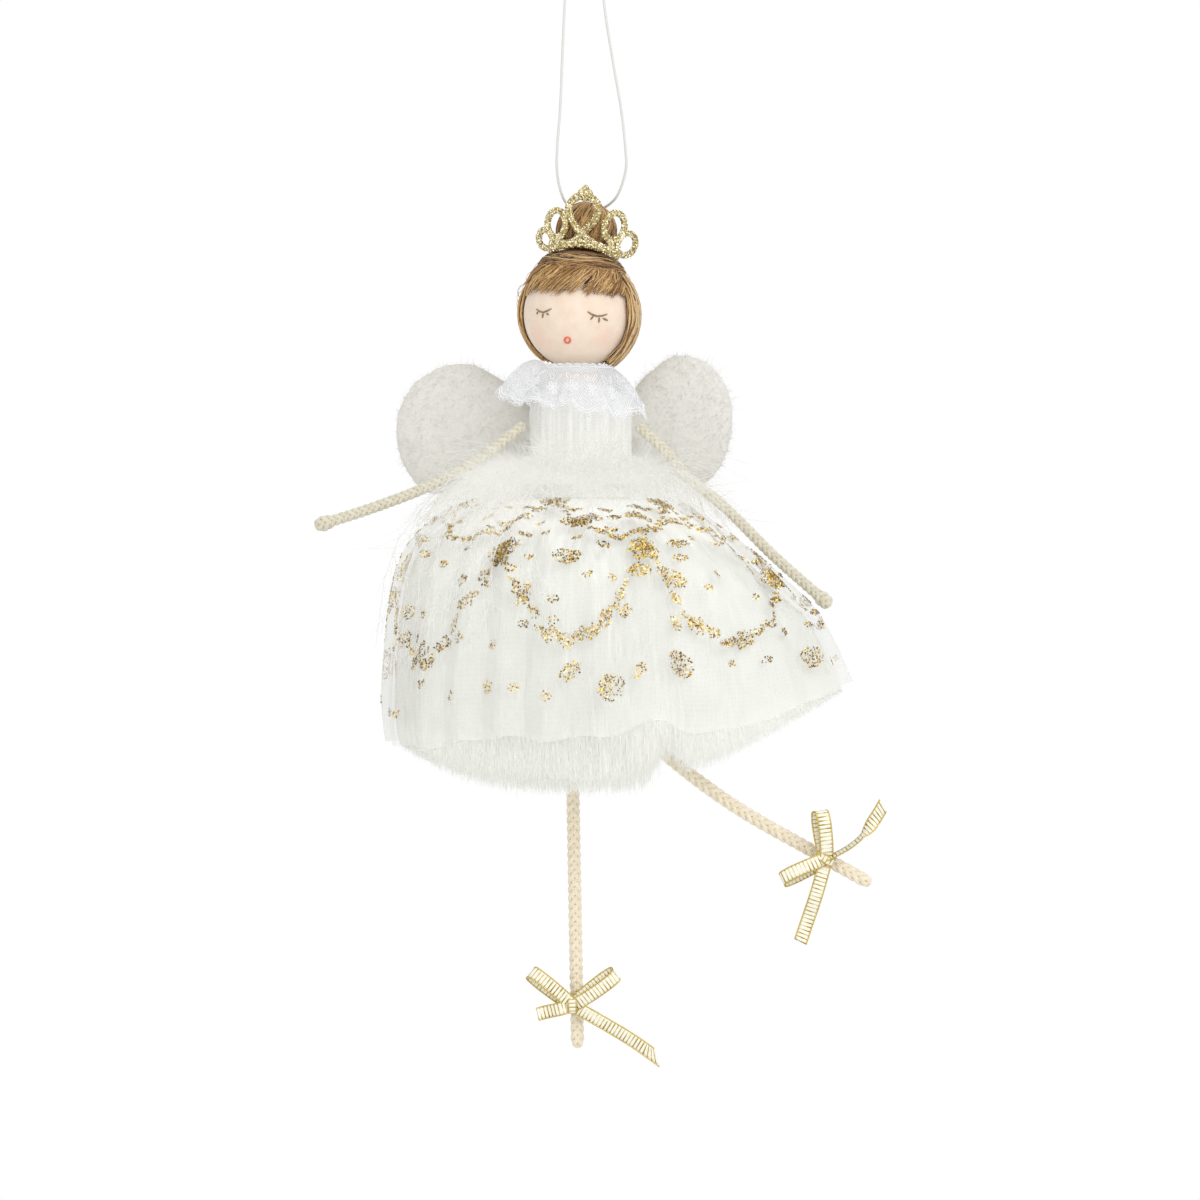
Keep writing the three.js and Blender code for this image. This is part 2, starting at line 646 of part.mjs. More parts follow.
function limbRing(curve, length, distance, radius, sides) {
  const share = THREE.MathUtils.clamp(distance / length, 0, 1);
  const centre = curve.getPointAt(share);
  const along = curve.getTangentAt(share);
  const first = depthAxis.clone().addScaledVector(along, -depthAxis.dot(along)).normalize();
  const second = along.clone().cross(first);
  return ringAt(sides, (angle) => centre.clone()
    .addScaledVector(first, radius * Math.cos(angle))
    .addScaledVector(second, radius * Math.sin(angle)));
}

function limbPieces(route, radius, endRadius, endLength) {
  const lead = route[0].clone().sub(route[1]).setLength(radius);
  const curve = new THREE.CatmullRomCurve3([route[0].clone().add(lead), ...route], false, 'centripetal');
  const length = curve.getLength();
  const sides = 8;
  const bore = wireDiameter / 2 + clearance;
  const mouth = Math.asin((bore + boreLip) / radius);
  const domeStop = (angle) => [radius * (1 - Math.cos(angle)), radius * Math.sin(angle)];
  const dome = [mouth, 0.9, 1.25].map(domeStop);
  const shaftEnd = length - endLength;
  const spans = 8;
  const shaft = Array.from({ length: spans + 1 }, (_, i) => {
    return [THREE.MathUtils.lerp(radius, shaftEnd, i / spans), radius];
  });
  const tip = [0.35, 0.75, 0.95].map((share) => {
    const bulge = Math.sqrt(1 - (2 * share - 1) ** 2);
    const reach = endRadius * bulge;
    return [shaftEnd + share * endLength, share < 0.5 ? Math.max(radius, reach) : reach];
  });
  const wireEnd = shaftEnd - wireTipCover;
  const boreStops = shaft.map(([distance]) => distance).filter((distance) => distance < wireEnd - 1);
  const ring = ([distance, reach]) => limbRing(curve, length, distance, reach, sides);
  const boreRings = [dome[0][0], ...boreStops, wireEnd].map((distance) => ring([distance, bore]));
  const skinRings = [...dome, ...shaft, ...tip].map(ring);
  const cord = loft([...boreRings.reverse(), ...skinRings]);
  const wireStops = [dome[0][0], ...boreStops, wireEnd - clearance];
  const wire = loft(wireStops.map((distance) => limbRing(curve, length, distance, wireDiameter / 2, 5)));
  return { cord, wire, curve, length };
}

function route(origin, reach, shares) {
  return shares.map((share) => new THREE.Vector3(...share).multiplyScalar(reach).add(origin));
}

function addLimb(name, limb, color) {
  addPiece(`${name}_cord`, limb.cord, color, 0.9);
  addPiece(`${name}_wire`, limb.wire, '#8d8f90', 0.4, 0.9);
}

// Arms, sewn to the bodice at the shoulders, with a rounded end for a hand
const shoulderZ = bodiceTopZ - shoulderDrop;
const shoulderReach = bodiceWidth / 2 + clearance + armDiameter / 2;

function addArms() {
  const leftShoulder = new THREE.Vector3(bodyX - shoulderReach, 0, shoulderZ + shoulderLift);
  const leftRoute = route(leftShoulder, leftArmReach, [
    [0, 0, 0], [-0.235, 0, -0.18], [-0.428, 0, -0.278], [-0.752, 0, -0.403], [-1, 0, -0.481],
  ]);
  const rightShoulder = new THREE.Vector3(bodyX + shoulderReach, 0, shoulderZ - shoulderLift);
  const rightRoute = route(rightShoulder, rightArmReach, [
    [0, 0, 0], [0.124, 0, -0.115], [0.237, 0, -0.251], [0.396, 0, -0.376], [0.714, 0, -0.684], [1, 0, -0.935],
  ]);
  addLimb('left_arm', limbPieces(leftRoute, armDiameter / 2, handDiameter / 2, handDiameter), '#d8d3c0');
  addLimb('right_arm', limbPieces(rightRoute, armDiameter / 2, handDiameter / 2, handDiameter), '#d8d3c0');
}

// Legs: a thigh under the skirt and a lower leg that bends at the knee. The right one is raised.
const kneeX = { left: hipX - hipSpacing / 2, right: hipX + hipSpacing / 2 };

function addThigh(side) {
  const radius = legDiameter / 2;
  const bore = wireDiameter / 2 + clearance;
  const footZ = thighTopZ - thighLength;
  const wall = [[bore, footZ], [radius, footZ], [radius, thighTopZ], [bore, thighTopZ], [bore, footZ]];
  addPiece(`${side}_thigh_cord`, turnedGeometry(wall, 12).translate(kneeX[side], 0, 0), '#eee3cb', 0.9);
  const wireRadius = wireDiameter / 2;
  const wire = [[0, footZ], [wireRadius, footZ], [wireRadius, thighTopZ], [0, thighTopZ]];
  addPiece(`${side}_thigh_wire`, turnedGeometry(wire, 8).translate(kneeX[side], 0, 0), '#8d8f90', 0.4, 0.9);
}

function addLegs() {
  const reaches = { left: leftLegDrop, right: rightLegReach };
  const shares = {
    left: [[0, 0, 0], [0.005, 0, -0.256], [0.019, 0, -1]],
    right: [
      [0, 0, 0], [0.148, -0.048, -0.11], [0.49, -0.156, -0.37], [0.802, -0.255, -0.547], [1, -0.319, -0.657],
    ],
  };
  const bows = {
    left: {
      toFoot: leftBowToFoot,
      loops: [[-0.8, 0.633], [0.833, 0.617]],
      tails: [[-0.4, -0.1], [0.995, -0.69]],
    },
    right: {
      toFoot: rightBowToFoot,
      loops: [[-0.117, 0.908], [-0.825, -0.392]],
      tails: [[0.64, 0.605], [-0.29, -0.93]],
    },
  };
  for (const side of ['left', 'right']) {
    addThigh(side);
    const knee = new THREE.Vector3(kneeX[side], 0, kneeZ);
    const legRoute = route(knee, reaches[side], shares[side]);
    const leg = limbPieces(legRoute, legDiameter / 2, legDiameter / 2, legDiameter);
    addLimb(`${side}_leg`, leg, '#eee3cb');
    addPiece(`${side}_bow`, bowGeometry(leg, bows[side]), '#d4b43c', 0.4, 0.6);
  }
}

// A bow of one ribbon: the band round the leg, the knot in front, two open loops and two tails.
// Loops and tails are given by where they end, right and up from the knot, as shares of a full loop or tail.
function ribbonStrip(knot, reach, path) {
  const outwards = new THREE.Vector3(reach[0], 0, reach[1]).normalize();
  const across = outwards.clone().cross(depthAxis);
  const curve = new THREE.SplineCurve(path.map(([out, y]) => new THREE.Vector2(out, y)));
  const steps = 2 * (path.length - 1);
  const rings = Array.from({ length: steps + 1 }, (_, i) => {
    const middle = curve.getPoint(i / steps);
    const along = curve.getTangent(i / steps);
    const centre = knot.clone().addScaledVector(outwards, middle.x).addScaledVector(depthAxis, middle.y);
    const face = outwards.clone().multiplyScalar(-along.y).addScaledVector(depthAxis, along.x);
    return [[1, 1], [-1, 1], [-1, -1], [1, -1]].map(([w, t]) => centre.clone()
      .addScaledVector(across, (w * ribbonWidth) / 2)
      .addScaledVector(face, (t * ribbonThickness) / 2));
  });
  return loft(rings);
}

function bowGeometry(leg, ends) {
  const share = 1 - ends.toFoot / leg.length;
  const centre = leg.curve.getPointAt(share);
  const along = leg.curve.getTangentAt(share);
  const bandInner = legDiameter / 2 + clearance;
  const bandOuter = bandInner + ribbonThickness;
  const half = ribbonWidth / 2;
  const corners = [[bandInner, -half], [bandOuter, -half], [bandOuter, half], [bandInner, half]];
  const wall = [...corners, corners[0]];
  const turn = new THREE.Quaternion().setFromUnitVectors(new THREE.Vector3(0, 0, 1), along);
  const band = turnedGeometry(wall, 14).applyQuaternion(turn).translate(centre.x, centre.y, centre.z);
  const knotDepth = loopOpening + 2 * ribbonThickness;
  const knot = centre.clone().addScaledVector(depthAxis, -bandOuter - knotDepth / 2 + ribbonThickness / 2);
  const lump = new THREE.BoxGeometry(half * 1.1, knotDepth, ribbonWidth * 0.9);
  lump.translate(knot.x, knot.y, knot.z);
  const pieces = [band, lump];
  for (const reach of ends.loops) {
    const out = bowLoopLength * Math.hypot(...reach);
    const open = loopOpening / 2;
    const going = [[0, -0.3], [out * 0.55, -open], [out * 0.9, -open * 0.9]];
    const coming = going.map(([along, y]) => [along, -y]).reverse();
    pieces.push(ribbonStrip(knot, reach, [...going, [out, 0], ...coming]));
  }
  for (const reach of ends.tails) {
    const out = bowTailLength * Math.hypot(...reach);
    pieces.push(ribbonStrip(knot, reach, [[0, 0], [out * 0.35, -0.6], [out * 0.7, 0.3], [out, -0.5]]));
  }
  return joined(pieces);
}

addHangingThread();
addTopknot();
addHead();
addBody();
addCollar();
addWings();
addArms();
addSkirt();
addLegs();

export default angel;
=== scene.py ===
# Looks of the fabric angel ornament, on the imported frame. Metres, +Z up, and the doll faces -Y.
# The origin is the crest of the hanging loop. "Left" is the viewer's left, so it is -X.
import math

import bpy
import numpy as np
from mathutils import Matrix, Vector


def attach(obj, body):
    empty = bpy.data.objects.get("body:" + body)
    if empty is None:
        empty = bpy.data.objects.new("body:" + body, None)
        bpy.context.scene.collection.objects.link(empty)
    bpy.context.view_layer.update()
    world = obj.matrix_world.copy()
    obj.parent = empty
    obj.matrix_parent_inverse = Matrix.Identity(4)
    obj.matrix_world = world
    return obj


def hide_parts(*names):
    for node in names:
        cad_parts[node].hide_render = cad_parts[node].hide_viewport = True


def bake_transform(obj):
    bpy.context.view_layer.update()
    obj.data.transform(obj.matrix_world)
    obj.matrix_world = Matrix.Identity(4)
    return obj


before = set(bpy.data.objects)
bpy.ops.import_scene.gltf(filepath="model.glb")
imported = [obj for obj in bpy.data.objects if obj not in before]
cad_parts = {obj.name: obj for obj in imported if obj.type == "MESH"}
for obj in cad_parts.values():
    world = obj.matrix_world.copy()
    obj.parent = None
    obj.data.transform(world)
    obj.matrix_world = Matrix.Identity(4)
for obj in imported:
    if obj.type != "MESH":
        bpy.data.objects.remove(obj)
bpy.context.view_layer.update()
scene = bpy.context.scene
scene.view_settings.view_transform = "Standard"
mm = 0.001

# Camera and stage
# The ornament hangs level with the camera in front of white, in soft light from the upper right.
# A pale floor lies some way below it and runs out into white.
view_centre = Vector((3.45, 0, -175.95)) * mm
view_width = 276 * mm
view_distance = 0.9
floor_drop = 0.42
floor_radius = 0.64
floor_corners = 64


def placed(name, data):
    """A mesh, curve, lamp or camera as an object of the scene."""
    obj = bpy.data.objects.new(name, data)
    scene.collection.objects.link(obj)
    return obj


camera_data = bpy.data.cameras.new("camera")
camera_data.sensor_width = 36
camera_data.lens = camera_data.sensor_width * view_distance / view_width
camera = placed("camera", camera_data)
camera.location = view_centre - Vector((0, view_distance, 0))
camera.rotation_euler = (math.radians(90), 0, 0)
scene.camera = camera


def linear(colour):
    """An sRGB hex colour as the linear RGBA that sockets take."""
    parts = [int(colour[i:i + 2], 16) / 255 for i in (1, 3, 5)]
    return [p / 12.92 if p <= 0.04045 else ((p + 0.055) / 1.055) ** 2.4 for p in parts] + [1.0]


def set_inputs(tree, node, inputs):
    """Sets a node's inputs by name or number, to constants, sockets or other nodes' first outputs."""
    for key, value in inputs.items():
        if isinstance(value, bpy.types.Node):
            value = value.outputs[0]
        if isinstance(value, bpy.types.NodeSocket):
            tree.links.new(value, node.inputs[key])
        else:
            node.inputs[key].default_value = value


def add_node(tree, kind, inputs=None, **settings):
    """Adds a node with its inputs. Settings are its properties."""
    node = tree.nodes.new(kind)
    for name, value in settings.items():
        setattr(node, name, value)
    set_inputs(tree, node, inputs or {})
    return node


def maths(tree, operation, *values):
    """One step of arithmetic in a material."""
    return add_node(tree, "ShaderNodeMath", dict(enumerate(values)), operation=operation)


# The room lights the doll, and the camera, gloss and glass see it plain white.
world = bpy.data.worlds.new("white_room")
scene.world = world
world.use_nodes = True
room_tree = world.node_tree
room_tree.nodes.clear()
room_light = add_node(room_tree, "ShaderNodeBackground", {"Color": linear("#fffefb"), "Strength": 0.72})
room_white = add_node(room_tree, "ShaderNodeBackground", {"Color": linear("#ffffff"), "Strength": 1.0})
room_rays = add_node(room_tree, "ShaderNodeLightPath")
room_seen = room_rays.outputs["Is Camera Ray"]
for ray in ("Is Glossy Ray", "Is Transmission Ray"):
    room_seen = maths(room_tree, "MAXIMUM", room_seen, room_rays.outputs[ray])
room = add_node(room_tree, "ShaderNodeMixShader", {0: room_seen, 1: room_light, 2: room_white})
add_node(room_tree, "ShaderNodeOutputWorld", {"Surface": room})

floor_turn = np.linspace(0, 2 * math.pi, floor_corners, endpoint=False)
floor_mesh = bpy.data.meshes.new("floor")
floor_mesh.from_pydata(
    [(floor_radius * math.cos(t), floor_radius * math.sin(t), -floor_drop) for t in floor_turn], [],
    [range(floor_corners)])
floor = placed("floor", floor_mesh)
# Painted floor: matt off-white under the doll, which glows out to plain white towards its rim
floor_material = bpy.data.materials.new("painted_floor")
floor_material.use_nodes = True
floor_tree = floor_material.node_tree
floor_tree.nodes.clear()
spot = add_node(floor_tree, "ShaderNodeTexCoord").outputs["Object"]
spot = add_node(floor_tree, "ShaderNodeVectorMath", {0: spot, 1: (1, 1, 0)}, operation="MULTIPLY")
away = add_node(floor_tree, "ShaderNodeVectorMath", {0: spot}, operation="LENGTH").outputs["Value"]
edge = add_node(floor_tree, "ShaderNodeMapRange",
                {"Value": away, "From Min": 0.2, "From Max": 0.9 * floor_radius},
                interpolation_type="SMOOTHSTEP")
paint = add_node(floor_tree, "ShaderNodeBsdfDiffuse", {"Color": linear("#f6f6f4")})
glow = add_node(floor_tree, "ShaderNodeEmission", {"Color": linear("#ffffff"), "Strength": 1.0})
floor_mix = add_node(floor_tree, "ShaderNodeMixShader", {0: edge, 1: paint, 2: glow})
add_node(floor_tree, "ShaderNodeOutputMaterial", {"Surface": floor_mix})
floor_mesh.materials.append(floor_material)


def add_lamp(name, place, size, power):
    """A soft square lamp that faces the doll."""
    data = bpy.data.lights.new(name, "AREA")
    data.size = size
    data.energy = power
    lamp = placed(name, data)
    lamp.location = view_centre + Vector(place)
    lamp.rotation_euler = (-Vector(place)).to_track_quat("-Z", "Y").to_euler()


add_lamp("key_lamp", place=(0.6, -0.9, 0.7), size=0.9, power=6.9)
add_lamp("fill_lamp", place=(-0.9, -0.8, -0.1), size=0.9, power=2.0)

# Hanging thread
# One length of smooth white polyester thread, doubled into a loop over the hook and tied round the bun's
# back. Its ends meet in one small overhand knot behind the bun.
thread_diameter = 0.6 * mm
thread_route = [
    (-0.75, 8.3, -86.5), (-2.2, 6.4, -85.2), (-3.9, 3.4, -84.9), (-4.9, 1.6, -83.6), (-6.1, 0.7, -79.8),
    (-6.5, 0.2, -76.1), (-6.4, 0, -72.2), (-5.7, 0, -63), (-5.3, 0, -53.1), (-4.6, 0, -37.95),
    (-3.6, 0, -22), (-2.6, 0, -9), (-1.6, 0, -2.2), (0, 0, 0.3), (1.6, 0, -2.2),
    (2.4, 0, -9), (3.2, 0, -22), (4.3, 0, -37.95), (6.6, 0, -53.1), (8.3, 0, -63),
    (9.3, 0, -72.2), (9.5, 0.2, -76.1), (8.7, 0.7, -79.8), (7.1, 1.6, -83.3), (5, 3.6, -85),
    (2.9, 6.4, -85.6), (1.35, 8.3, -86.5),
]
knot_place = np.array([0.3, 8.25, -87.75])
knot_size = 0.21
knot_stations = 40


def run_of(points):
    """Distance along a line of points, at each of them."""
    steps = np.linalg.norm(np.diff(points, axis=0), axis=1)
    return np.concatenate([[0.0], np.cumsum(steps)])


def smooth_path(points, spacing):
    """Evenly spaced points on a smooth curve through the given ones."""
    points = np.array(points, float)
    chord = run_of(points)
    slope = np.gradient(points, chord, axis=0)
    fine = np.linspace(0, chord[-1], 60 * len(points))
    leg = np.clip(np.searchsorted(chord, fine, side="right") - 1, 0, len(points) - 2)
    span = (chord[leg + 1] - chord[leg])[:, None]
    t = (fine - chord[leg])[:, None] / span
    curve = (2 * t**3 - 3 * t**2 + 1) * points[leg] + (t**3 - 2 * t**2 + t) * span * slope[leg]
    curve += (3 * t**2 - 2 * t**3) * points[leg + 1] + (t**3 - t**2) * span * slope[leg + 1]
    run = run_of(curve)
    stops = np.linspace(0, run[-1], max(2, int(round(run[-1] / spacing)) + 1))
    return np.stack([np.interp(stops, run, curve[:, i]) for i in range(3)], axis=1)


def new_material(name, constants):
    """A material named for the real one, with what is the same all over set on the shader's own sockets."""
    material = bpy.data.materials.new(name)
    material.use_nodes = True
    shader = material.node_tree.nodes["Principled BSDF"]
    set_inputs(material.node_tree, shader, constants)
    return material, material.node_tree, shader


def object_place(tree):
    """The place on the object, which textures follow."""
    return add_node(tree, "ShaderNodeTexCoord").outputs["Object"]


def mottle(tree, grain, detail=2.0, roughness=0.5, upright=None):
    """Noise with spots about as large as the grain. Upright below 1 draws them out along Z."""
    place = object_place(tree)
    if upright:
        place = add_node(tree, "ShaderNodeMapping", {"Vector": place, "Scale": (1, 1, upright)})
    return add_node(tree, "ShaderNodeTexNoise", {
        "Vector": place, "Scale": 1 / grain, "Detail": detail, "Roughness": roughness})


def ramp(tree, level, stops):
    """Colours for a level from 0 to 1, given as positions with sRGB hex colours."""
    node = add_node(tree, "ShaderNodeValToRGB", {0: level})
    elements = node.color_ramp.elements
    while len(elements) < len(stops):
        elements.new(1)
    for element, (position, colour) in zip(elements, stops):
        element.position = position
        element.color = linear(colour)
    return node


def relief(tree, height, strength, depth, sunk=False):
    """Raises a surface where a level is high, or sinks it there."""
    return add_node(tree, "ShaderNodeBump", {"Height": height, "Strength": strength, "Distance": depth},
                    invert=sunk)


def fibre_material(name, stops, grain, constants):
    """Fibre whose colour runs through stops by each strand's own shade, with a fine grain along it."""
    material, tree, shader = new_material(name, constants)
    shade = add_node(tree, "ShaderNodeAttribute", attribute_name="shade").outputs["Fac"]
    noise = mottle(tree, grain)
    wander = 0.3
    level = maths(tree, "SUBTRACT", maths(tree, "MULTIPLY_ADD", noise, wander, shade), wander / 2)
    set_inputs(tree, shader, {
        "Base Color": ramp(tree, level, stops), "Normal": relief(tree, noise, 0.5, 0.1 * mm)})
    return material


def finish_piece(obj, nodes=(), body="doll"):
    """Ties a finished piece to its body, and hides the solids that it stands for."""
    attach(obj, body)
    if nodes:
        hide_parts(*nodes)
    return obj


# Polyester thread: smooth and slightly glossy, with a fine twist that only shows as a faint grey
thread_material = fibre_material(
    "polyester_thread", [(0.2, "#dcdedb"), (0.8, "#f0f1ef")], 0.5 * mm, {"Roughness": 0.45})
thread_line = smooth_path(thread_route, 0.8) * mm
thread_curve = bpy.data.curves.new("hanging_thread_line", "CURVE")
thread_curve.dimensions = "3D"
thread_curve.bevel_depth = thread_diameter / 2
thread_curve.bevel_resolution = 2
thread_curve.use_fill_caps = True
thread_spline = thread_curve.splines.new("POLY")
thread_spline.points.add(len(thread_line) - 1)
for point, place in zip(thread_spline.points, thread_line):
    point.co = (*place, 1)
thread_curve.materials.append(thread_material)
hanging_thread = placed("hanging_thread_loop", thread_curve)
finish_piece(hanging_thread, ["hanging_thread"])


def new_group(name, inputs):
    """A Geometry Nodes group: its tree, its inputs' identifiers by label, and its input node."""
    tree = bpy.data.node_groups.new(name, "GeometryNodeTree")
    identifiers = {}
    for label, kind in inputs.items():
        socket = tree.interface.new_socket(label, in_out="INPUT", socket_type=f"NodeSocket{kind}")
        identifiers[label] = socket.identifier
    tree.interface.new_socket("Made", in_out="OUTPUT", socket_type="NodeSocketGeometry")
    return tree, identifiers, add_node(tree, "NodeGroupInput")


def point_value(tree, label, kind="FLOAT"):
    """What is stored on the points under a label."""
    return add_node(tree, "GeometryNodeInputNamedAttribute", {"Name": label}, data_type=kind)


def close_group(tree, made, material):
    """Ends a group: what it made becomes plain mesh of one material."""
    real = add_node(tree, "GeometryNodeRealizeInstances", {0: made})
    done = add_node(tree, "GeometryNodeSetMaterial", {"Geometry": real, "Material": material})
    add_node(tree, "NodeGroupOutput", {0: done})


# Every strand on the doll, from the thread's knot to the fur, is a tube swept along a line of points.
strand_tree, strand_inputs, strand_in = new_group(
    "strands", {"Lines": "Geometry", "Sides": "Int", "Fibre": "Material"})
strand_curves = add_node(strand_tree, "GeometryNodeMeshToCurve", {"Mesh": strand_in.outputs["Lines"]})
strand_section = add_node(strand_tree, "GeometryNodeCurvePrimitiveCircle",
                          {"Resolution": strand_in.outputs["Sides"], "Radius": 1.0})
strand_tubes = add_node(strand_tree, "GeometryNodeCurveToMesh", {
    "Curve": strand_curves, "Profile Curve": strand_section, "Scale": point_value(strand_tree, "thickness"),
    "Fill Caps": True})
close_group(strand_tree, strand_tubes, strand_in.outputs["Fibre"])


def plain_mesh(obj):
    """Turns what an object's modifiers make into its own plain, smooth mesh."""
    bpy.context.view_layer.update()
    made = bpy.data.meshes.new_from_object(obj.evaluated_get(bpy.context.evaluated_depsgraph_get()))
    obj.modifiers.clear()
    obj.data = made
    made.shade_smooth()
    return obj


def store(mesh, **values):
    """Stores numbers on a mesh's points under plain names."""
    for label, numbers in values.items():
        numbers = np.ascontiguousarray(numbers, np.float32).ravel()
        mesh.attributes.new(label, "FLOAT", "POINT").data.foreach_set("value", numbers)


def grown(name, mesh, tree, inputs):
    """Runs a Geometry Nodes group on a mesh. The result is an object with a plain mesh."""
    obj = placed(name, mesh)
    modifier = obj.modifiers.new(tree.name, "NODES")
    modifier.node_group = tree
    for identifier, value in inputs.items():
        modifier[identifier] = value
    return plain_mesh(obj)


def strands(name, lines, thickness, material, shade=0.5, sides=3):
    """One piece of many strands. Lines are strand by point by x, y and z; thickness is the radius."""
    lines = np.asarray(lines, np.float32)
    count, stations = lines.shape[:2]
    mesh = bpy.data.meshes.new(name)
    mesh.vertices.add(count * stations)
    mesh.vertices.foreach_set("co", lines.ravel())
    number = np.arange(count * stations, dtype=np.int32).reshape(count, stations)
    mesh.edges.add(count * (stations - 1))
    mesh.edges.foreach_set("vertices", np.stack([number[:, :-1], number[:, 1:]], axis=-1).ravel())
    for label, values in (("thickness", thickness), ("shade", shade)):
        values = np.asarray(values, np.float32)
        values = values[:, None] if values.ndim == 1 else values
        store(mesh, **{label: np.broadcast_to(values, (count, stations))})
    return grown(name, mesh, strand_tree, {strand_inputs["Sides"]: sides, strand_inputs["Fibre"]: material})


knot_turn = np.linspace(0, 2 * np.pi, knot_stations)
knot_line = np.stack([
    np.sin(knot_turn) + 2 * np.sin(2 * knot_turn), -np.sin(3 * knot_turn),
    np.cos(knot_turn) - 2 * np.cos(2 * knot_turn)], axis=1) * knot_size + knot_place
knot_sag = np.linspace(0, 1, knot_stations)[:, None]
knot_tails = [knot_place + knot_sag * (side * 0.5, 0.35, -2.1) + np.sin(3 * knot_sag) * (side * 0.3, 0, 0)
              for side in (-1, 1)]
thread_knot = strands("thread_overhand_knot", np.stack([knot_line, *knot_tails]) * mm,
                      0.45 * thread_diameter, thread_material, sides=8)
finish_piece(thread_knot, ["thread_knot"])

# Legs
# Cream cotton cord, braided round from eight yarns over a soft core, with a bendable wire inside.
# Each is one length from the hip to a fused round foot, and bends at the knee under the skirt.
leg_radius = 1.6 * mm
hip_z = -152.9
knee_z = -199.4
leg_routes = {
    "left": [(-3.2, 0, hip_z), (-3.2, 0, -176), (-3.2, 0, knee_z), (-2.8, 0, -219.7), (-1.7, 0, -278.8)],
    "right": [(2.8, 0, hip_z), (2.8, 0, -176), (2.8, 0, -192), (4.6, -0.6, -200.3), (12.1, -3, -206.3),
              (32.9, -9.6, -222.1), (52.0, -15.7, -233.0), (64.2, -19.6, -239.7)],
}


def unit(vectors):
    """The same directions with length 1."""
    return vectors / np.linalg.norm(vectors, axis=-1, keepdims=True)


def cross_axes(path):
    """The way along a path and two directions across it, the first as near to depth as can be."""
    along = unit(np.gradient(path, axis=0))
    first = unit(np.array([0.0, 1.0, 0.0]) - along * along[:, 1:2])
    return along, first, np.cross(along, first)


def braided_cord(name, path, radius, material, yarns=4, pitch=8 * mm, swell=None, seed=1):
    """A round braid along a path: yarns wind each way over and under two, round a core, in chevrons at the
    front. Swell gives the cord's radius along the path as shares of its usual one."""
    rng = np.random.default_rng(seed)
    _, first, second = cross_axes(path)
    swell = np.ones(len(path)) if swell is None else swell
    yarn = 0.36 * radius
    lift = 0.1 * radius
    turn = 2 * np.pi * run_of(path) / pitch
    front = np.arctan2(-second[:, 1], -first[:, 1])
    lines, shade = [], []
    for way in (1, -1):
        for k in range(yarns):
            angle = way * turn + 2 * np.pi * k / yarns
            over = way * np.sin(0.5 * yarns * (angle - front))
            reach = (swell * (1.06 * radius - yarn - lift) + lift * over)[:, None]
            lines.append(path + reach * (np.cos(angle)[:, None] * first + np.sin(angle)[:, None] * second))
            # Painted shade: each yarn is a little darker where it dips under the others.
            shade.append(rng.uniform(0.52, 0.66) + 0.07 * over)
    lines.append(path)
    # Painted shade: the core has a dark shade, so the gaps between the yarns read as shadow.
    shade.append(np.full(len(path), 0.15))
    thickness = np.tile(yarn * np.clip(swell, 0.45, 1.15), (2 * yarns + 1, 1))
    thickness[-1] = swell * 0.66 * radius
    return strands(name, np.stack(lines), thickness, material, np.stack(shade), sides=7)


def round_end(run, radius):
    """A cord's radius as a share, closing to a round tip at its far end."""
    left = np.clip((run[-1] - run) / radius, 0.02, 1)
    return np.sqrt(1 - (1 - left) ** 2)


# Braided cotton cord: matt, warm cream, with a slight bloom of fibre; the darker lines between its yarns are
# painted shade
leg_cotton = fibre_material(
    "braided_cotton_cord", [(0.1, "#c2ad86"), (0.45, "#e9dcc1"), (0.9, "#fbf3e3")], 1.2 * mm,
    {"Roughness": 0.92, "Sheen Weight": 0.25, "Specular IOR Level": 0.2})
leg_paths = {}
for side, route in leg_routes.items():
    path = smooth_path(route, 0.45) * mm
    leg_paths[side] = path
    foot = round_end(run_of(path), leg_radius)
    leg = braided_cord(f"{side}_leg_braid", path, leg_radius, leg_cotton, swell=foot)
    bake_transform(leg)
    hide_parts(f"{side}_thigh_cord", f"{side}_leg_cord")

# Wires
# Soft drawn steel wire runs inside each cord and holds its bend. It is wholly hidden, so the solids stay
# and only take the real material.


def spread(tree, level, low, high):
    """A level from 0 to 1 as a number between two others."""
    return add_node(tree, "ShaderNodeMapRange", {"Value": level, "To Min": low, "To Max": high})


def dress_nodes(material, names):
    """Gives CAD nodes that stay their real material."""
    for name in names:
        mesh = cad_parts[name].data
        mesh.materials.clear()
        mesh.materials.append(material)


# Drawn steel: a fine lengthwise polish on grey metal
wire_steel, wire_tree, wire_shader = new_material("drawn_steel_wire", {"Metallic": 1.0})
wire_streak = mottle(wire_tree, 0.2 * mm, upright=0.05)
set_inputs(wire_tree, wire_shader, {
    "Base Color": ramp(wire_tree, wire_streak, [(0.3, "#77797b"), (0.7, "#9c9fa1")]),
    "Roughness": spread(wire_tree, wire_streak, 0.28, 0.45)})
for side in ("left", "right"):
    dress_nodes(wire_steel, [f"{side}_{limb}_wire" for limb in ("arm", "thigh", "leg")])

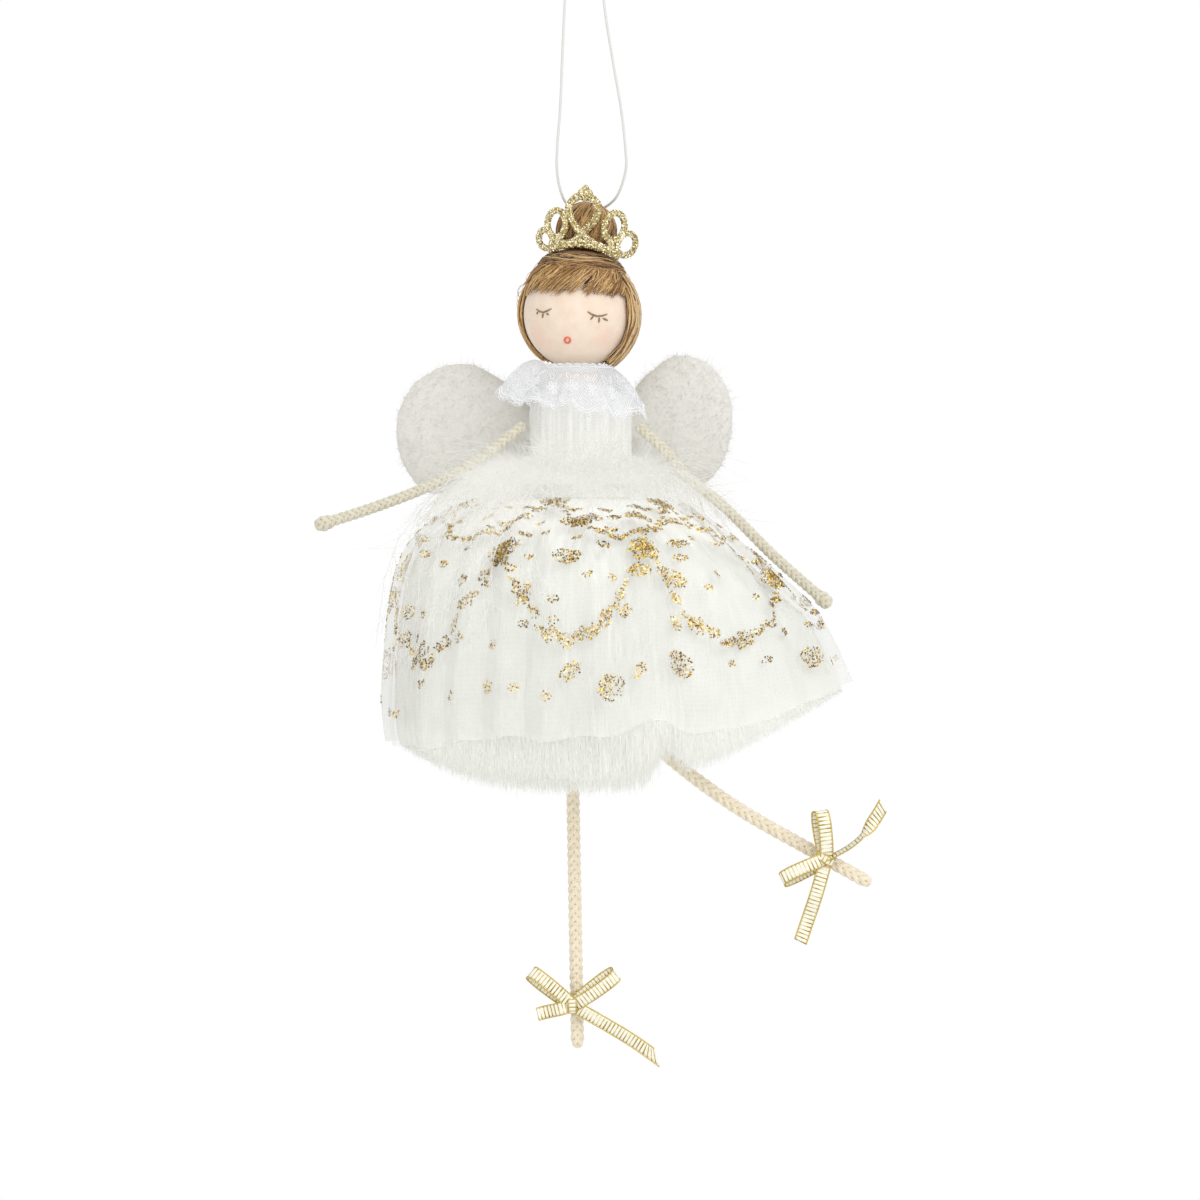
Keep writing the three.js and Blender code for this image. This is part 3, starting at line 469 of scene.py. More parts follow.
# Ankle bows
# Woven metallic ribbon, three millimetres wide, tied round each ankle in a small bow: cream bars across it
# with dark gold gaps between them, and a gold wire thread along each edge.
ribbon_width = 2.8 * mm
ribbon_gauge = 0.16 * mm
edge_thread_radius = 0.16 * mm
bar_pitch = 0.9
bow_to_foot = {"left": 10 * mm, "right": 11.8 * mm}
band_gap = 0.35 * mm
knot_stand = 1.1 * mm
knot_half_depth = 1.05 * mm
knot_half_height = 1.75 * mm
knot_width_share = 0.62
loop_depth = 1.0 * mm
loop_lean = 0.6
tail_rock = 8
slant_run = 4
ribbon_step = 0.45 * mm
bow_ends = {
    "left": {"loops": [(-9.6, 7.6), (10, 7.4)], "tails": [(-8, -2), (19.4, -11.9)], "twist": [0, 0],
             "slant": [0, -3.2], "sag": [0, 0.02], "aside": -1.0},
    "right": {"loops": [(-1.4, 10.9), (-9.9, -4.7)], "tails": [(12.8, 12.1), (-5.8, -18.6)],
              "twist": [-84, 0], "slant": [0.8, 0.4], "sag": [-0.1, 0.01], "aside": 0.0},
}


def stripes(tree, layout, pitch):
    """A wave from -1 to 1 along the first direction of a sheet's flat layout, which is in millimetres."""
    flat = add_node(tree, "ShaderNodeSeparateXYZ", {0: add_node(tree, "ShaderNodeUVMap", uv_map=layout)})
    return maths(tree, "SINE", maths(tree, "MULTIPLY", flat, 2 * math.pi / pitch))


# Metallic ribbon: bars of pale yarn, seen by the ribbon's own length, with glossy gold between
ribbon_weave, ribbon_tree, ribbon_shader = new_material("woven_metallic_ribbon", {"Specular IOR Level": 0.4})
bar_uneven = maths(ribbon_tree, "MULTIPLY_ADD", mottle(ribbon_tree, 2.2 * mm, detail=1.0), 1.5,
                   stripes(ribbon_tree, "ribbon", bar_pitch))
bar_level = add_node(ribbon_tree, "ShaderNodeMapRange",
                     {"Value": bar_uneven, "From Min": -0.3, "From Max": 0.65})
bar_stops = [(0.0, "#9c8a49"), (0.25, "#d6c68a"), (0.5, "#ece5c9"), (1.0, "#f7f4e6")]
set_inputs(ribbon_tree, ribbon_shader, {
    "Base Color": ramp(ribbon_tree, bar_level, bar_stops),
    "Metallic": spread(ribbon_tree, bar_level, 0.9, 0.1),
    "Roughness": spread(ribbon_tree, bar_level, 0.3, 0.6),
    "Normal": relief(ribbon_tree, bar_level, 0.6, 0.1 * mm)})

# Gold wire thread: bright metal with small dark turns where it is wrapped
edge_gold = fibre_material("gold_wrapped_thread", [(0.25, "#6f5c22"), (0.5, "#cbb052"), (0.8, "#f1e09a")],
                           0.45 * mm, {"Metallic": 0.9, "Roughness": 0.32})


def grid_faces(rows, columns, wrapped):
    """The four-cornered faces of a grid of points. Wrapped joins its last column to its first."""
    number = np.arange(rows * columns).reshape(rows, columns)
    if wrapped:
        number = np.concatenate([number, number[:, :1]], axis=1)
    corners = [number[:-1, :-1], number[:-1, 1:], number[1:, 1:], number[1:, :-1]]
    return np.stack(corners, axis=-1).reshape(-1, 4).tolist()


def cloth_grid(name, points, layout, flat, material, wrapped=False):
    """A sheet from a grid of points, row by column, with its own flat layout as UV."""
    mesh = bpy.data.meshes.new(name)
    mesh.from_pydata(points.reshape(-1, 3).tolist(), [], grid_faces(*points.shape[:2], wrapped))
    corners = np.stack([flat[:-1, :-1], flat[:-1, 1:], flat[1:, 1:], flat[1:, :-1]], axis=2)
    mesh.uv_layers.new(name=layout).data.foreach_set("uv", corners.astype(np.float32).ravel())
    mesh.materials.append(material)
    mesh.shade_smooth()
    return placed(name, mesh)


def joined(name, objects):
    """Several made meshes as one object."""
    with bpy.context.temp_override(active_object=objects[0], selected_editable_objects=objects):
        bpy.ops.object.join()
    objects[0].name = name
    return objects[0]


def ribbon_strip(name, middle, across, slant=0.0):
    """A flat strip of ribbon along a middle line, with its edge threads. Slant cuts its far end askew."""
    shares = np.linspace(-0.5, 0.5, 5)
    across = np.broadcast_to(across, middle.shape)
    points = middle[:, None] + across[:, None] * (shares * ribbon_width)[None, :, None]
    ahead = unit(middle[-1] - middle[-2])
    run = run_of(middle) / mm
    near_end = np.clip(1 - (run[-1] - run) / slant_run, 0, 1)
    points += ahead * (near_end[:, None] * shares * slant * mm)[..., None]
    flat = np.stack(np.meshgrid(shares + 0.5, run), axis=-1)[..., ::-1]
    strip = cloth_grid(name, points, "ribbon", flat, ribbon_weave)
    solid = strip.modifiers.new("gauge", "SOLIDIFY")
    solid.thickness = ribbon_gauge
    solid.offset = 0
    plain_mesh(strip)
    edges = np.stack([points[:, 0], points[:, -1]])
    return [strip, strands(f"{name}_edge", edges, edge_thread_radius, edge_gold, sides=6)]


def rocked(across, along, degrees):
    """Turns a ribbon's width direction about its length by an angle at each point."""
    angle = np.radians(degrees)[:, None]
    return across * np.cos(angle) + np.cross(along, across) * np.sin(angle)


depth_way = np.array([0.0, 1.0, 0.0])
tie_turn = np.linspace(0, 2 * np.pi, 33)[:, None]
loop_share = np.array([0, 0.25, 0.55, 0.85, 0.985, 1, 0.985, 0.85, 0.55, 0.25, 0])[:, None]
loop_opening = np.array([-0.2, -0.7, -1, -0.95, -0.55, 0, 0.55, 0.95, 1, 0.7, 0.2])[:, None] * loop_depth
tail_share = np.linspace(0, 1, 7)[:, None]
tail_sway = np.array([0, -0.5, -0.9, -0.6, 0.1, 0.3, -0.2])[:, None] * mm
for side, ends in bow_ends.items():
    path = leg_paths[side]
    at = np.searchsorted(run_of(path), run_of(path)[-1] - bow_to_foot[side])
    along, first, second = (axis[at] for axis in cross_axes(path))
    band_radius = leg_radius + band_gap
    knot = path[at] + np.array([ends["aside"] * mm, -band_radius - knot_stand, 0])
    band = path[at] + band_radius * (np.cos(tie_turn) * first + np.sin(tie_turn) * second)
    parts = ribbon_strip(f"{side}_bow_band", band, along)
    wrap = knot + knot_half_depth * np.sin(tie_turn) * depth_way + knot_half_height * np.cos(tie_turn) * along
    parts += ribbon_strip(f"{side}_bow_knot", wrap, knot_width_share * np.cross(depth_way, along))
    for i, (right, up) in enumerate(ends["loops"]):
        out = np.array([right, 0, up]) * mm
        sideways = np.cross(unit(out), depth_way)
        bend = knot + loop_share * out + loop_opening * (depth_way + loop_lean * sideways)
        parts += ribbon_strip(f"{side}_bow_loop_{i}", smooth_path(bend, ribbon_step), sideways)
    for i, (right, up) in enumerate(ends["tails"]):
        out = np.array([right, 0, up]) * mm
        heading = unit(out)
        sideways = np.cross(heading, depth_way)
        droop = np.sin(np.pi * tail_share) * ends["sag"][i] * np.linalg.norm(out)
        tail = smooth_path(knot + tail_share * out + tail_sway * depth_way + droop * sideways, ribbon_step)
        twist = ends["twist"][i]
        turned = np.interp(np.linspace(0, 1, len(tail)), [0, 0.55, 0.8, 1], [twist, twist, 0, 0])
        across = rocked(np.tile(sideways, (len(tail), 1)), heading, turned + tail_rock)
        parts += ribbon_strip(f"{side}_bow_tail_{i}", tail, across, ends["slant"][i])
    bow = joined(f"{side}_ribbon_bow", parts)
    finish_piece(bow, [f"{side}_bow"], f"{side}_leg")

# Body
# A torso stuffed with wadding, in a tube of thin white cotton gauze that is drawn in at the neck.
# The gauze is crinkled, so it hangs in many fine upright ridges.
head_place = np.array([-1.84, 0, -110.3])
body_x = -0.9
bodice_top = -125.75
bodice_foot = -152.15
shoulder_height = 7.4
neck_reach = 5.45
bodice_half_width = 12.2
bodice_half_depth = 9.0
bodice_inset = 0.35
bodice_columns = 72
crinkle_height = 0.2 * mm
crinkle_ridges = (19, 26, 34, 45, 58)
gauze_pitch = 0.45 * mm

# Cotton wadding: matt, cream, with soft lumps. It is inside and hardly seen.
wadding, wadding_tree, wadding_shader = new_material("cotton_wadding", {"Roughness": 1.0})
wadding_lumps = mottle(wadding_tree, 1.5 * mm, detail=5.0)
set_inputs(wadding_tree, wadding_shader, {
    "Base Color": ramp(wadding_tree, wadding_lumps, [(0.3, "#e6e0d2"), (0.7, "#f6f3ea")]),
    "Normal": relief(wadding_tree, wadding_lumps, 1.0, 0.4 * mm)})
dress_nodes(wadding, ["torso_core", "head_core"])
dress_nodes(thread_material, ["neck_binding", "waist_binding"])


def coordinates(mesh):
    """A mesh's points as an array."""
    places = np.zeros(len(mesh.vertices) * 3, np.float32)
    mesh.vertices.foreach_get("co", places)
    return places.reshape(-1, 3)


def stuffed(name, rings, voxel, pressure, cap):
    """A closed cloth shape filled out by its stuffing: rings of points are skinned and remeshed, then
    Blender's cloth blows the skin up, and no point ends further than cap from its start. It is worked at
    20 times life size, over 20 frames."""
    grow = 20
    frames = 20
    rows, columns = rings.shape[:2]
    number = np.arange(rows * columns).reshape(rows, columns)
    faces = grid_faces(rows, columns, True) + [number[0, ::-1].tolist(), number[-1].tolist()]
    mesh = bpy.data.meshes.new(name)
    mesh.from_pydata((rings.reshape(-1, 3) * grow).tolist(), [], faces)
    obj = placed(name, mesh)
    remesh = obj.modifiers.new("even_faces", "REMESH")
    remesh.mode = "VOXEL"
    remesh.voxel_size = voxel * grow
    plain_mesh(obj)
    start = coordinates(obj.data)
    cloth = obj.modifiers.new("stuffing", "CLOTH")
    cloth.settings.use_pressure = True
    cloth.settings.uniform_pressure_force = pressure
    cloth.settings.effector_weights.gravity = 0
    cloth.point_cache.frame_end = frames
    for step in range(1, frames + 1):
        scene.frame_set(step)
    plain_mesh(obj)
    scene.frame_set(1)
    shift = coordinates(obj.data) - start
    reach = np.maximum(np.linalg.norm(shift, axis=1, keepdims=True), 1e-9)
    places = (start + shift * np.minimum(1, cap * grow / reach)) / grow
    obj.data.vertices.foreach_set("co", places.astype(np.float32).ravel())
    finer = obj.modifiers.new("finer", "SUBSURF")
    finer.levels = finer.render_levels = 1
    return plain_mesh(obj)


def bodice_ring(share):
    """A ring of the bodice: share is 0 at the neck, 1 where the shoulders end, and 2 at the foot."""
    angle = np.linspace(0, 2 * np.pi, bodice_columns, endpoint=False)
    swell = np.sin(min(share, 1) * np.pi / 2) ** 0.8
    half_width = neck_reach + (bodice_half_width - neck_reach) * swell - bodice_inset
    half_depth = neck_reach + (bodice_half_depth - neck_reach) * swell - bodice_inset
    centre = head_place[0] + (body_x - head_place[0]) * swell
    height = np.interp(share, [0, 1, 2], [bodice_top, bodice_top - shoulder_height, bodice_foot])
    return np.stack([centre + half_width * np.cos(angle), half_depth * np.sin(angle),
                     np.full(bodice_columns, height)], axis=1)


bodice_rings = np.stack([bodice_ring(share) for share in np.linspace(0.02, 2, 24)]) * mm
bodice = stuffed("gauze_bodice", bodice_rings, voxel=0.7 * mm, pressure=3.0, cap=0.5 * mm)
bodice_places = coordinates(bodice.data)
bodice_angle = np.arctan2(bodice_places[:, 1], bodice_places[:, 0] - body_x * mm)
bodice_normals = np.array([v.normal for v in bodice.data.vertices])
crinkle_rng = np.random.default_rng(11)
crinkle = np.zeros(len(bodice_places))
for ridges in crinkle_ridges:
    drift = crinkle_rng.uniform(0.4, 1.4) * np.sin(bodice_places[:, 2] / (9 * mm) + crinkle_rng.uniform(0, 6))
    crinkle += np.cos(ridges * bodice_angle + drift + crinkle_rng.uniform(0, 6)) / len(crinkle_ridges)
bodice_places += (bodice_normals * (crinkle_height * crinkle)[:, None]).astype(np.float32)
bodice.data.vertices.foreach_set("co", bodice_places.ravel())


def bands(tree, place, pitch, direction):
    """Rows one pitch apart: the wave texture repeats about every 0.31 at scale 1."""
    return add_node(tree, "ShaderNodeTexWave", {"Vector": place, "Scale": 0.31 / pitch},
                    bands_direction=direction).outputs["Fac"]


# Cotton gauze: bright matt white, with a weave drawn coarser than the real one, and painted shade greying its
# furrows
gauze, gauze_tree, gauze_shader = new_material(
    "cotton_gauze", {"Roughness": 0.95, "Sheen Weight": 0.2, "Specular IOR Level": 0.2})
gauze_furrows = mottle(gauze_tree, 1.1 * mm, detail=3.0, upright=0.06)
gauze_weave = bands(gauze_tree, object_place(gauze_tree), gauze_pitch, "Z")
gauze_height = maths(gauze_tree, "MULTIPLY_ADD", gauze_furrows, 2.0, gauze_weave)
# The furrow noise also greys the colour where the cloth sinks: painted shade in the furrows.
set_inputs(gauze_tree, gauze_shader, {
    "Base Color": ramp(gauze_tree, gauze_furrows, [(0.3, "#e2e2de"), (0.5, "#ecece8"), (0.7, "#f3f3f0")]),
    "Normal": relief(gauze_tree, gauze_height, 0.4, 0.15 * mm)})
bodice.data.materials.append(gauze)
finish_piece(bodice, ["bodice"])

# Head
# A wadding ball under fine peach knit, drawn tight and bound at the neck. The sleeping eyes are worked in
# taupe thread and the small open mouth in coral thread, and the cheeks are dusted with colour.
head_radius = 12.25
neck_radius = 4.6
neck_fall = 16.4
neck_pleat = 0.2
knit_columns = 120
wale_pitch = 0.5
face_drop = 0.65
blushes = [
    {"place": (-10.35, -6.5, -116.5), "reach": 4.6, "strength": 0.42, "colour": "#f3bfae"},
    {"place": (4.53, -8.4, -116.8), "reach": 4.6, "strength": 0.34, "colour": "#f4c3b2"},
    {"place": (-4.0, -10.0, -117.0), "reach": 0.75, "strength": 0.9, "colour": "#f9d5c6"},
]
mouth_place = np.array([-2.13, -5.93])
mouth_radius = 0.62
mouth_thread_radius = 0.24 * mm
head_angle = np.linspace(0, 2 * np.pi, knit_columns, endpoint=False)
head_rows = []
for polar in np.radians(np.linspace(3, 157, 64)):
    head_rows.append((head_radius * np.sin(polar), head_radius * np.cos(polar)))
head_rows.append((neck_radius + 0.1, -12.1))
head_rows += [(neck_radius, height) for height in (-13.2, -14.8, -neck_fall)]
head_rows = np.array(head_rows)
pleat_share = np.clip((-head_rows[:, 1] - 10.5) / 2, 0, 1)[:, None]
head_reach = head_rows[:, :1] + pleat_share * neck_pleat * np.cos(24 * head_angle)[None, :]
head_points = np.stack([
    head_reach * np.cos(head_angle), head_reach * np.sin(head_angle),
    np.repeat(head_rows[:, 1:], knit_columns, axis=1)], axis=-1) + head_place
knit_across = np.linspace(0, 2 * np.pi * head_radius, knit_columns + 1)
knit_flat = np.stack(np.meshgrid(knit_across, run_of(head_rows)), axis=-1)

# Fine knit jersey: soft matt peach, with wales drawn coarser than the real ones and blushed cheeks
knit, knit_tree, knit_shader = new_material(
    "peach_jersey_knit", {"Roughness": 0.85, "Sheen Weight": 0.45, "Specular IOR Level": 0.25})
wale = stripes(knit_tree, "knit", wale_pitch)
knit_tone = maths(knit_tree, "MULTIPLY_ADD", wale, 0.09, mottle(knit_tree, 2.5 * mm, detail=3.0))
knit_colour = ramp(knit_tree, knit_tone, [(0.25, "#efd9c4"), (0.75, "#f6e5d4")]).outputs["Color"]
for blush in blushes:
    blush_gap = add_node(knit_tree, "ShaderNodeVectorMath", {
        0: object_place(knit_tree), 1: np.array(blush["place"]) * mm}, operation="DISTANCE").outputs["Value"]
    blush_share = add_node(knit_tree, "ShaderNodeMapRange", {
        "Value": blush_gap, "From Max": blush["reach"] * mm, "To Min": blush["strength"], "To Max": 0.0},
        interpolation_type="SMOOTHSTEP")
    knit_colour = add_node(knit_tree, "ShaderNodeMix", {
        "Factor": blush_share, 6: knit_colour, 7: linear(blush["colour"])}, data_type="RGBA").outputs[2]
set_inputs(knit_tree, knit_shader, {
    "Base Color": knit_colour, "Normal": relief(knit_tree, wale, 0.2, 0.06 * mm)})
head_cover = cloth_grid("knit_head", head_points * mm, "knit", knit_flat, knit, wrapped=True)
finish_piece(head_cover, ["head_cover"])


def on_face(points, lift=0.08):
    """Points of the face, given right of and above the head's middle, set on the ball."""
    points = np.asarray(points, float) - np.array([0, face_drop])
    reach = head_radius + lift
    depth = -np.sqrt(reach**2 - (points**2).sum(axis=-1))
    return np.stack([points[..., 0], depth, points[..., 1]], axis=-1) + head_place


# Eyes: a lid drawn as a shallow bowl, with three short lashes under it
eye_lines = np.array([
    [(-9.2, 1.32), (-8.5, 0.72), (-7.62, 0.44), (-6.7, 0.75), (-5.75, 1.2)],
    [(-8.85, 0.62), (-8.95, 0.5), (-9.0, 0.35), (-9.05, 0.25), (-9.1, 0.12)],
    [(-7.65, 0.15), (-7.7, -0.1), (-7.75, -0.35), (-7.8, -0.6), (-7.82, -0.8)],
    [(-6.85, 0.25), (-6.75, 0.12), (-6.65, 0.02), (-6.52, -0.08), (-6.4, -0.2)],
    [(2.5, 0.45), (3.3, -0.1), (4.6, -0.54), (5.8, -0.4), (6.95, 0.0)],
    [(3.9, -0.4), (3.72, -0.66), (3.5, -0.92), (3.3, -1.15), (3.12, -1.35)],
    [(5.1, -0.85), (5.12, -1.1), (5.1, -1.4), (5.05, -1.7), (5.0, -1.98)],
    [(5.95, -0.95), (6.2, -1.08), (6.5, -1.2), (6.8, -1.32), (7.05, -1.4)],
])
eye_width = np.array([0.13, 0.19, 0.22, 0.2, 0.11]) * mm
# Embroidery thread: thin and matt, taupe for the eyes and coral for the mouth
taupe_thread = fibre_material("taupe_embroidery_thread", [(0.2, "#77634c"), (0.8, "#9c8871")], 0.3 * mm,
                              {"Roughness": 0.8})
coral_thread = fibre_material("coral_embroidery_thread", [(0.2, "#d95f48"), (0.8, "#ee8a70")], 0.3 * mm,
                              {"Roughness": 0.75})
eye_thickness = np.tile(eye_width, (len(eye_lines), 1))
eyes = strands("sleeping_eyes", on_face(eye_lines) * mm, eye_thickness, taupe_thread, sides=6)
finish_piece(eyes)
mouth_turn = np.linspace(0, 2 * np.pi, 33)
mouth_line = mouth_place + mouth_radius * np.stack([np.cos(mouth_turn), np.sin(mouth_turn)], axis=1)
mouth = strands("mouth_ring", on_face(mouth_line)[None] * mm, mouth_thread_radius, coral_thread, sides=6)
finish_piece(mouth)

# Hair
# Combed flax fibre, glued to the head: it is drawn up all round to the crown of the head, wound there into a
# roll, and brought up into a small bun. A separate fringe is swept across the brow to the left.
hair_rng = np.random.default_rng(23)
strand_radius = 0.17 * mm
middle_shade = 0.52
shade_spread = 0.27
bun_place = np.array([0.3, 0.8, -91.3])
bun_radius = 7.0
bun_axis = unit(bun_place - head_place)
bun_side = unit(np.cross([0, 1, 0], bun_axis))
bun_depth = np.cross(bun_axis, bun_side)
# How far from the head's middle each layer begins
side_foot = 12.5
cap_foot = 12.55
fringe_foot = 12.6
roll_foot = 13.6
stray_foot = 13.9

# Flax fibre: dull straw brown with pale and dark strands side by side, and a low silky shine along them
flax_stops = [(0.0, "#5c3f22"), (0.3, "#91693d"), (0.6, "#bd925b"), (0.95, "#e6c690")]
flax = fibre_material("combed_flax_fibre", flax_stops, 0.5 * mm,
                      {"Roughness": 0.75, "Sheen Weight": 0.25, "Specular IOR Level": 0.2})


def about(centre, polar, azimuth, radius):
    """Points round a centre, by angle from straight up, angle round from +X, and distance."""
    polar, azimuth, radius = np.broadcast_arrays(polar, azimuth, radius)
    return np.stack([radius * np.sin(polar) * np.cos(azimuth), radius * np.sin(polar) * np.sin(azimuth),
                     radius * np.cos(polar)], axis=-1) + centre


def about_bun_axis(centre, tilt, turn, radius):
    """Points round a centre, by angle from the bun's leaning axis, angle round it, and distance."""
    tilt, turn, radius = (values[..., None] for values in np.broadcast_arrays(tilt, turn, radius))
    aside = np.cos(turn) * bun_side + np.sin(turn) * bun_depth
    return centre + radius * (np.cos(tilt) * bun_axis + np.sin(tilt) * aside)


def waver(rng, count, stations, size, turns=2.0):
    """Slow side-to-side drift along strands."""
    along = np.linspace(0, 1, stations)[None, :]
    phase = rng.uniform(0, 2 * np.pi, (count, 1))
    speed = rng.uniform(0.5, 1, (count, 1)) * turns * 2 * np.pi
    return size * np.sin(phase + speed * along) * rng.uniform(0.3, 1, (count, 1))


def tapered(radius, count, stations, ends=0.35):
    """Strand radius that thins towards both ends."""
    along = np.linspace(0, 1, stations)
    profile = ends + (1 - ends) * np.sin(np.pi * np.clip(along, 0.02, 0.98)) ** 0.4
    return np.tile(radius * profile, (count, 1))


def hair_layer(name, lines, thickness, tone, tips=0.0, ends=0.35):
    """A layer of flax strands, each with its own shade about a tone. Tips makes their ends paler."""
    count, stations = lines.shape[:2]
    shade = hair_rng.normal(middle_shade, shade_spread, (count, 1)) + tone
    shade = shade + tips * np.linspace(-0.5, 0.5, stations)[None, :]
    return strands(name, lines * mm, tapered(thickness * strand_radius, count, stations, ends), flax, shade)


def flat_layout(width, height, columns, rows):
    """An even grid over a flat sheet, for its UV."""
    return np.stack(np.meshgrid(np.linspace(0, width, columns), np.linspace(0, height, rows)), axis=-1)


def hair_shell(name, centre, radius, polar, azimuth, rows, columns, tone, wrapped=False):
    """A plain layer under the strands, over ranges of angles in degrees, so that no gap shows."""
    down = np.radians(np.linspace(*polar, rows))[:, None]
    turn = np.radians(np.linspace(*azimuth, columns, endpoint=not wrapped))[None, :]
    flat = flat_layout(1, 1, columns + wrapped, rows)
    shell = cloth_grid(name, about(centre, down, turn, radius) * mm, "cap", flat, flax, wrapped)
    store(shell.data, shade=np.full(rows * columns, tone))
    return shell


# Hair over the sides and back, from the roll down to the nape, closer to the head on the left
side_count, side_stations = 900, 15
side_azimuth = hair_rng.uniform(np.radians(-24), np.radians(177), (side_count, 1))
side_fall = np.linspace(0, 1, side_stations)[None, :]
side_right = np.clip(np.cos(side_azimuth), 0, 1) ** 4
side_left = np.clip(-np.cos(side_azimuth), 0, 1) ** 4
side_span = np.radians(hair_rng.uniform(112, 121, (side_count, 1)) + 5 * side_right)
side_polar = np.radians(22) + side_fall * side_span
side_layer = hair_rng.uniform(0, 1, (side_count, 1)) ** 0.7
side_bulge = 0.6 + 0.4 * np.sin(np.pi * side_fall**0.8)
side_depth = (2.3 - 1.1 * side_left - 0.35 * side_right) * side_bulge + 1.1 * side_right * side_fall**2
side_sway = waver(hair_rng, side_count, side_stations, 0.085, 2.6)
side_lines = about(head_place, side_polar, side_azimuth + side_sway, side_foot + side_layer * side_depth)
# Painted light: the inner, deeper strands are toned lighter, to offset the shade they lie in.
hair_sides = hair_layer("hair_sides", side_lines, thickness=1.25, tone=0.24 + 0.12 * (1 - side_layer))
hair_cap = hair_shell("hair_cap", head_place, cap_foot, polar=(1, 134), azimuth=(-18, 172), rows=40,
                      columns=80, tone=0.78)
stray_count = 130
stray_azimuth = hair_rng.uniform(np.radians(-170), np.radians(180), (stray_count, 1))
stray_reach = np.where(stray_azimuth < 0, 26, 66)
stray_start = hair_rng.uniform(0, 1, (stray_count, 1))
stray_polar = np.radians(24 + stray_reach * (0.5 * stray_start + 0.5 * side_fall))
stray_lift = hair_rng.uniform(0.1, 1.1, (stray_count, 1)) * np.sin(np.pi * side_fall)
stray_sway = waver(hair_rng, stray_count, side_stations, 0.22, 2.5)
stray_lines = about(head_place, stray_polar, stray_azimuth + stray_sway, stray_foot + stray_lift)
stray_thickness = tapered(0.35 * strand_radius, stray_count, side_stations)
strays = strands("hair_strays", stray_lines * mm, stray_thickness, flax, 0.8)
hair_wrap = joined("flax_hair", [hair_sides, hair_cap, strays])
finish_piece(hair_wrap, ["hair_wrap"])

# Fringe, swept down and to the left over the brow in uneven locks, with pale tips and painted shade at the
# parting
fringe_count, fringe_stations, fringe_locks = 760, 12, 30
lock_half_width = 0.16
lock_middle = np.radians(np.linspace(196, 384, fringe_locks)) + hair_rng.normal(0, 0.03, fringe_locks)
lock_sweep = np.radians(np.linspace(52, 30, fringe_locks) + hair_rng.normal(0, 5, fringe_locks))
lock_end = np.radians(np.linspace(63, 71, fringe_locks) + hair_rng.normal(0, 1.0, fringe_locks))
lock_tone = hair_rng.uniform(-0.16, 0.12, fringe_locks)
fringe_lock = hair_rng.integers(0, fringe_locks, fringe_count)
fringe_fall = np.linspace(0, 1, fringe_stations)[None, :]
fringe_beside = hair_rng.normal(0, 0.075, (fringe_count, 1))
fringe_layer = hair_rng.uniform(0, 1, (fringe_count, 1))
fringe_start = np.radians(30)
fringe_end = lock_end[fringe_lock][:, None] + np.radians(hair_rng.normal(0, 2.6, (fringe_count, 1)))
fringe_polar = fringe_start + fringe_fall * (fringe_end - fringe_start)
fringe_azimuth = lock_middle[fringe_lock][:, None] - lock_sweep[fringe_lock][:, None] * fringe_fall**1.2
fringe_azimuth = fringe_azimuth + fringe_beside * (1.25 - 0.75 * np.sin(0.5 * np.pi * fringe_fall))
fringe_azimuth = np.clip(fringe_azimuth, np.radians(174), np.radians(353))
fringe_azimuth = fringe_azimuth + waver(hair_rng, fringe_count, fringe_stations, 0.04, 2.6)
lock_bulge = np.clip(1 - (fringe_beside / lock_half_width) ** 2, 0, 1)
fringe_swell = np.sin(np.pi * (0.25 + 0.7 * fringe_fall)) ** 0.7
fringe_radius = fringe_foot + (0.3 + 0.7 * fringe_layer + 0.75 * lock_bulge) * fringe_swell
fringe_lines = about(head_place, fringe_polar, fringe_azimuth, fringe_radius)
# Painted shade: lower strands, lock edges and the roots round the parting are darker; the whole fringe is
# also a little dimmer.
fringe_parting = np.exp(-((fringe_azimuth - np.radians(266)) / np.radians(34)) ** 2)
fringe_dimming_and_shade = 0.08 + 0.15 * (1 - fringe_layer) + 0.5 * fringe_parting * np.clip(1 - fringe_fall / 0.4, 0, 1)
fringe_tone_and_shade = lock_tone[fringe_lock][:, None] + 0.3 * (lock_bulge - 0.6) - fringe_dimming_and_shade
hair_tufts = hair_layer("hair_tufts", fringe_lines, thickness=1.15, tone=fringe_tone_and_shade, tips=0.5, ends=0.12)
# The dark sheet under the fringe shows between its locks as painted shade.
hair_brow = hair_shell("hair_brow", head_place, fringe_foot, polar=(20, 60), azimuth=(178, 350), rows=24,
                       columns=70, tone=0.1)
hair_fringe = joined("flax_fringe", [hair_tufts, hair_brow])
finish_piece(hair_fringe, ["hair_fringe"])

# Roll, wound flat round the foot of the bun
roll_count, roll_stations = 420, 30
roll_start = hair_rng.uniform(0, 2 * np.pi, (roll_count, 1))
roll_wind = hair_rng.uniform(1.4, 3.6, (roll_count, 1))
roll_turn = roll_start + np.linspace(0, 1, roll_stations)[None, :] * roll_wind
roll_level = hair_rng.uniform(0, 1, (roll_count, 1))
roll_spread = np.clip(roll_level + waver(hair_rng, roll_count, roll_stations, 0.1), 0, 1)
roll_tilt = np.radians(16 + 32 * roll_spread)
roll_depth = hair_rng.uniform(0.3, 1.9, (roll_count, 1)) * np.sin(np.pi * (0.15 + 0.75 * roll_spread))
roll_lines = about_bun_axis(head_place, roll_tilt, roll_turn, roll_foot + roll_depth)
hair_roll = hair_layer("flax_roll", roll_lines, thickness=1.2, tone=-0.08)
finish_piece(hair_roll, ["hair_roll"])

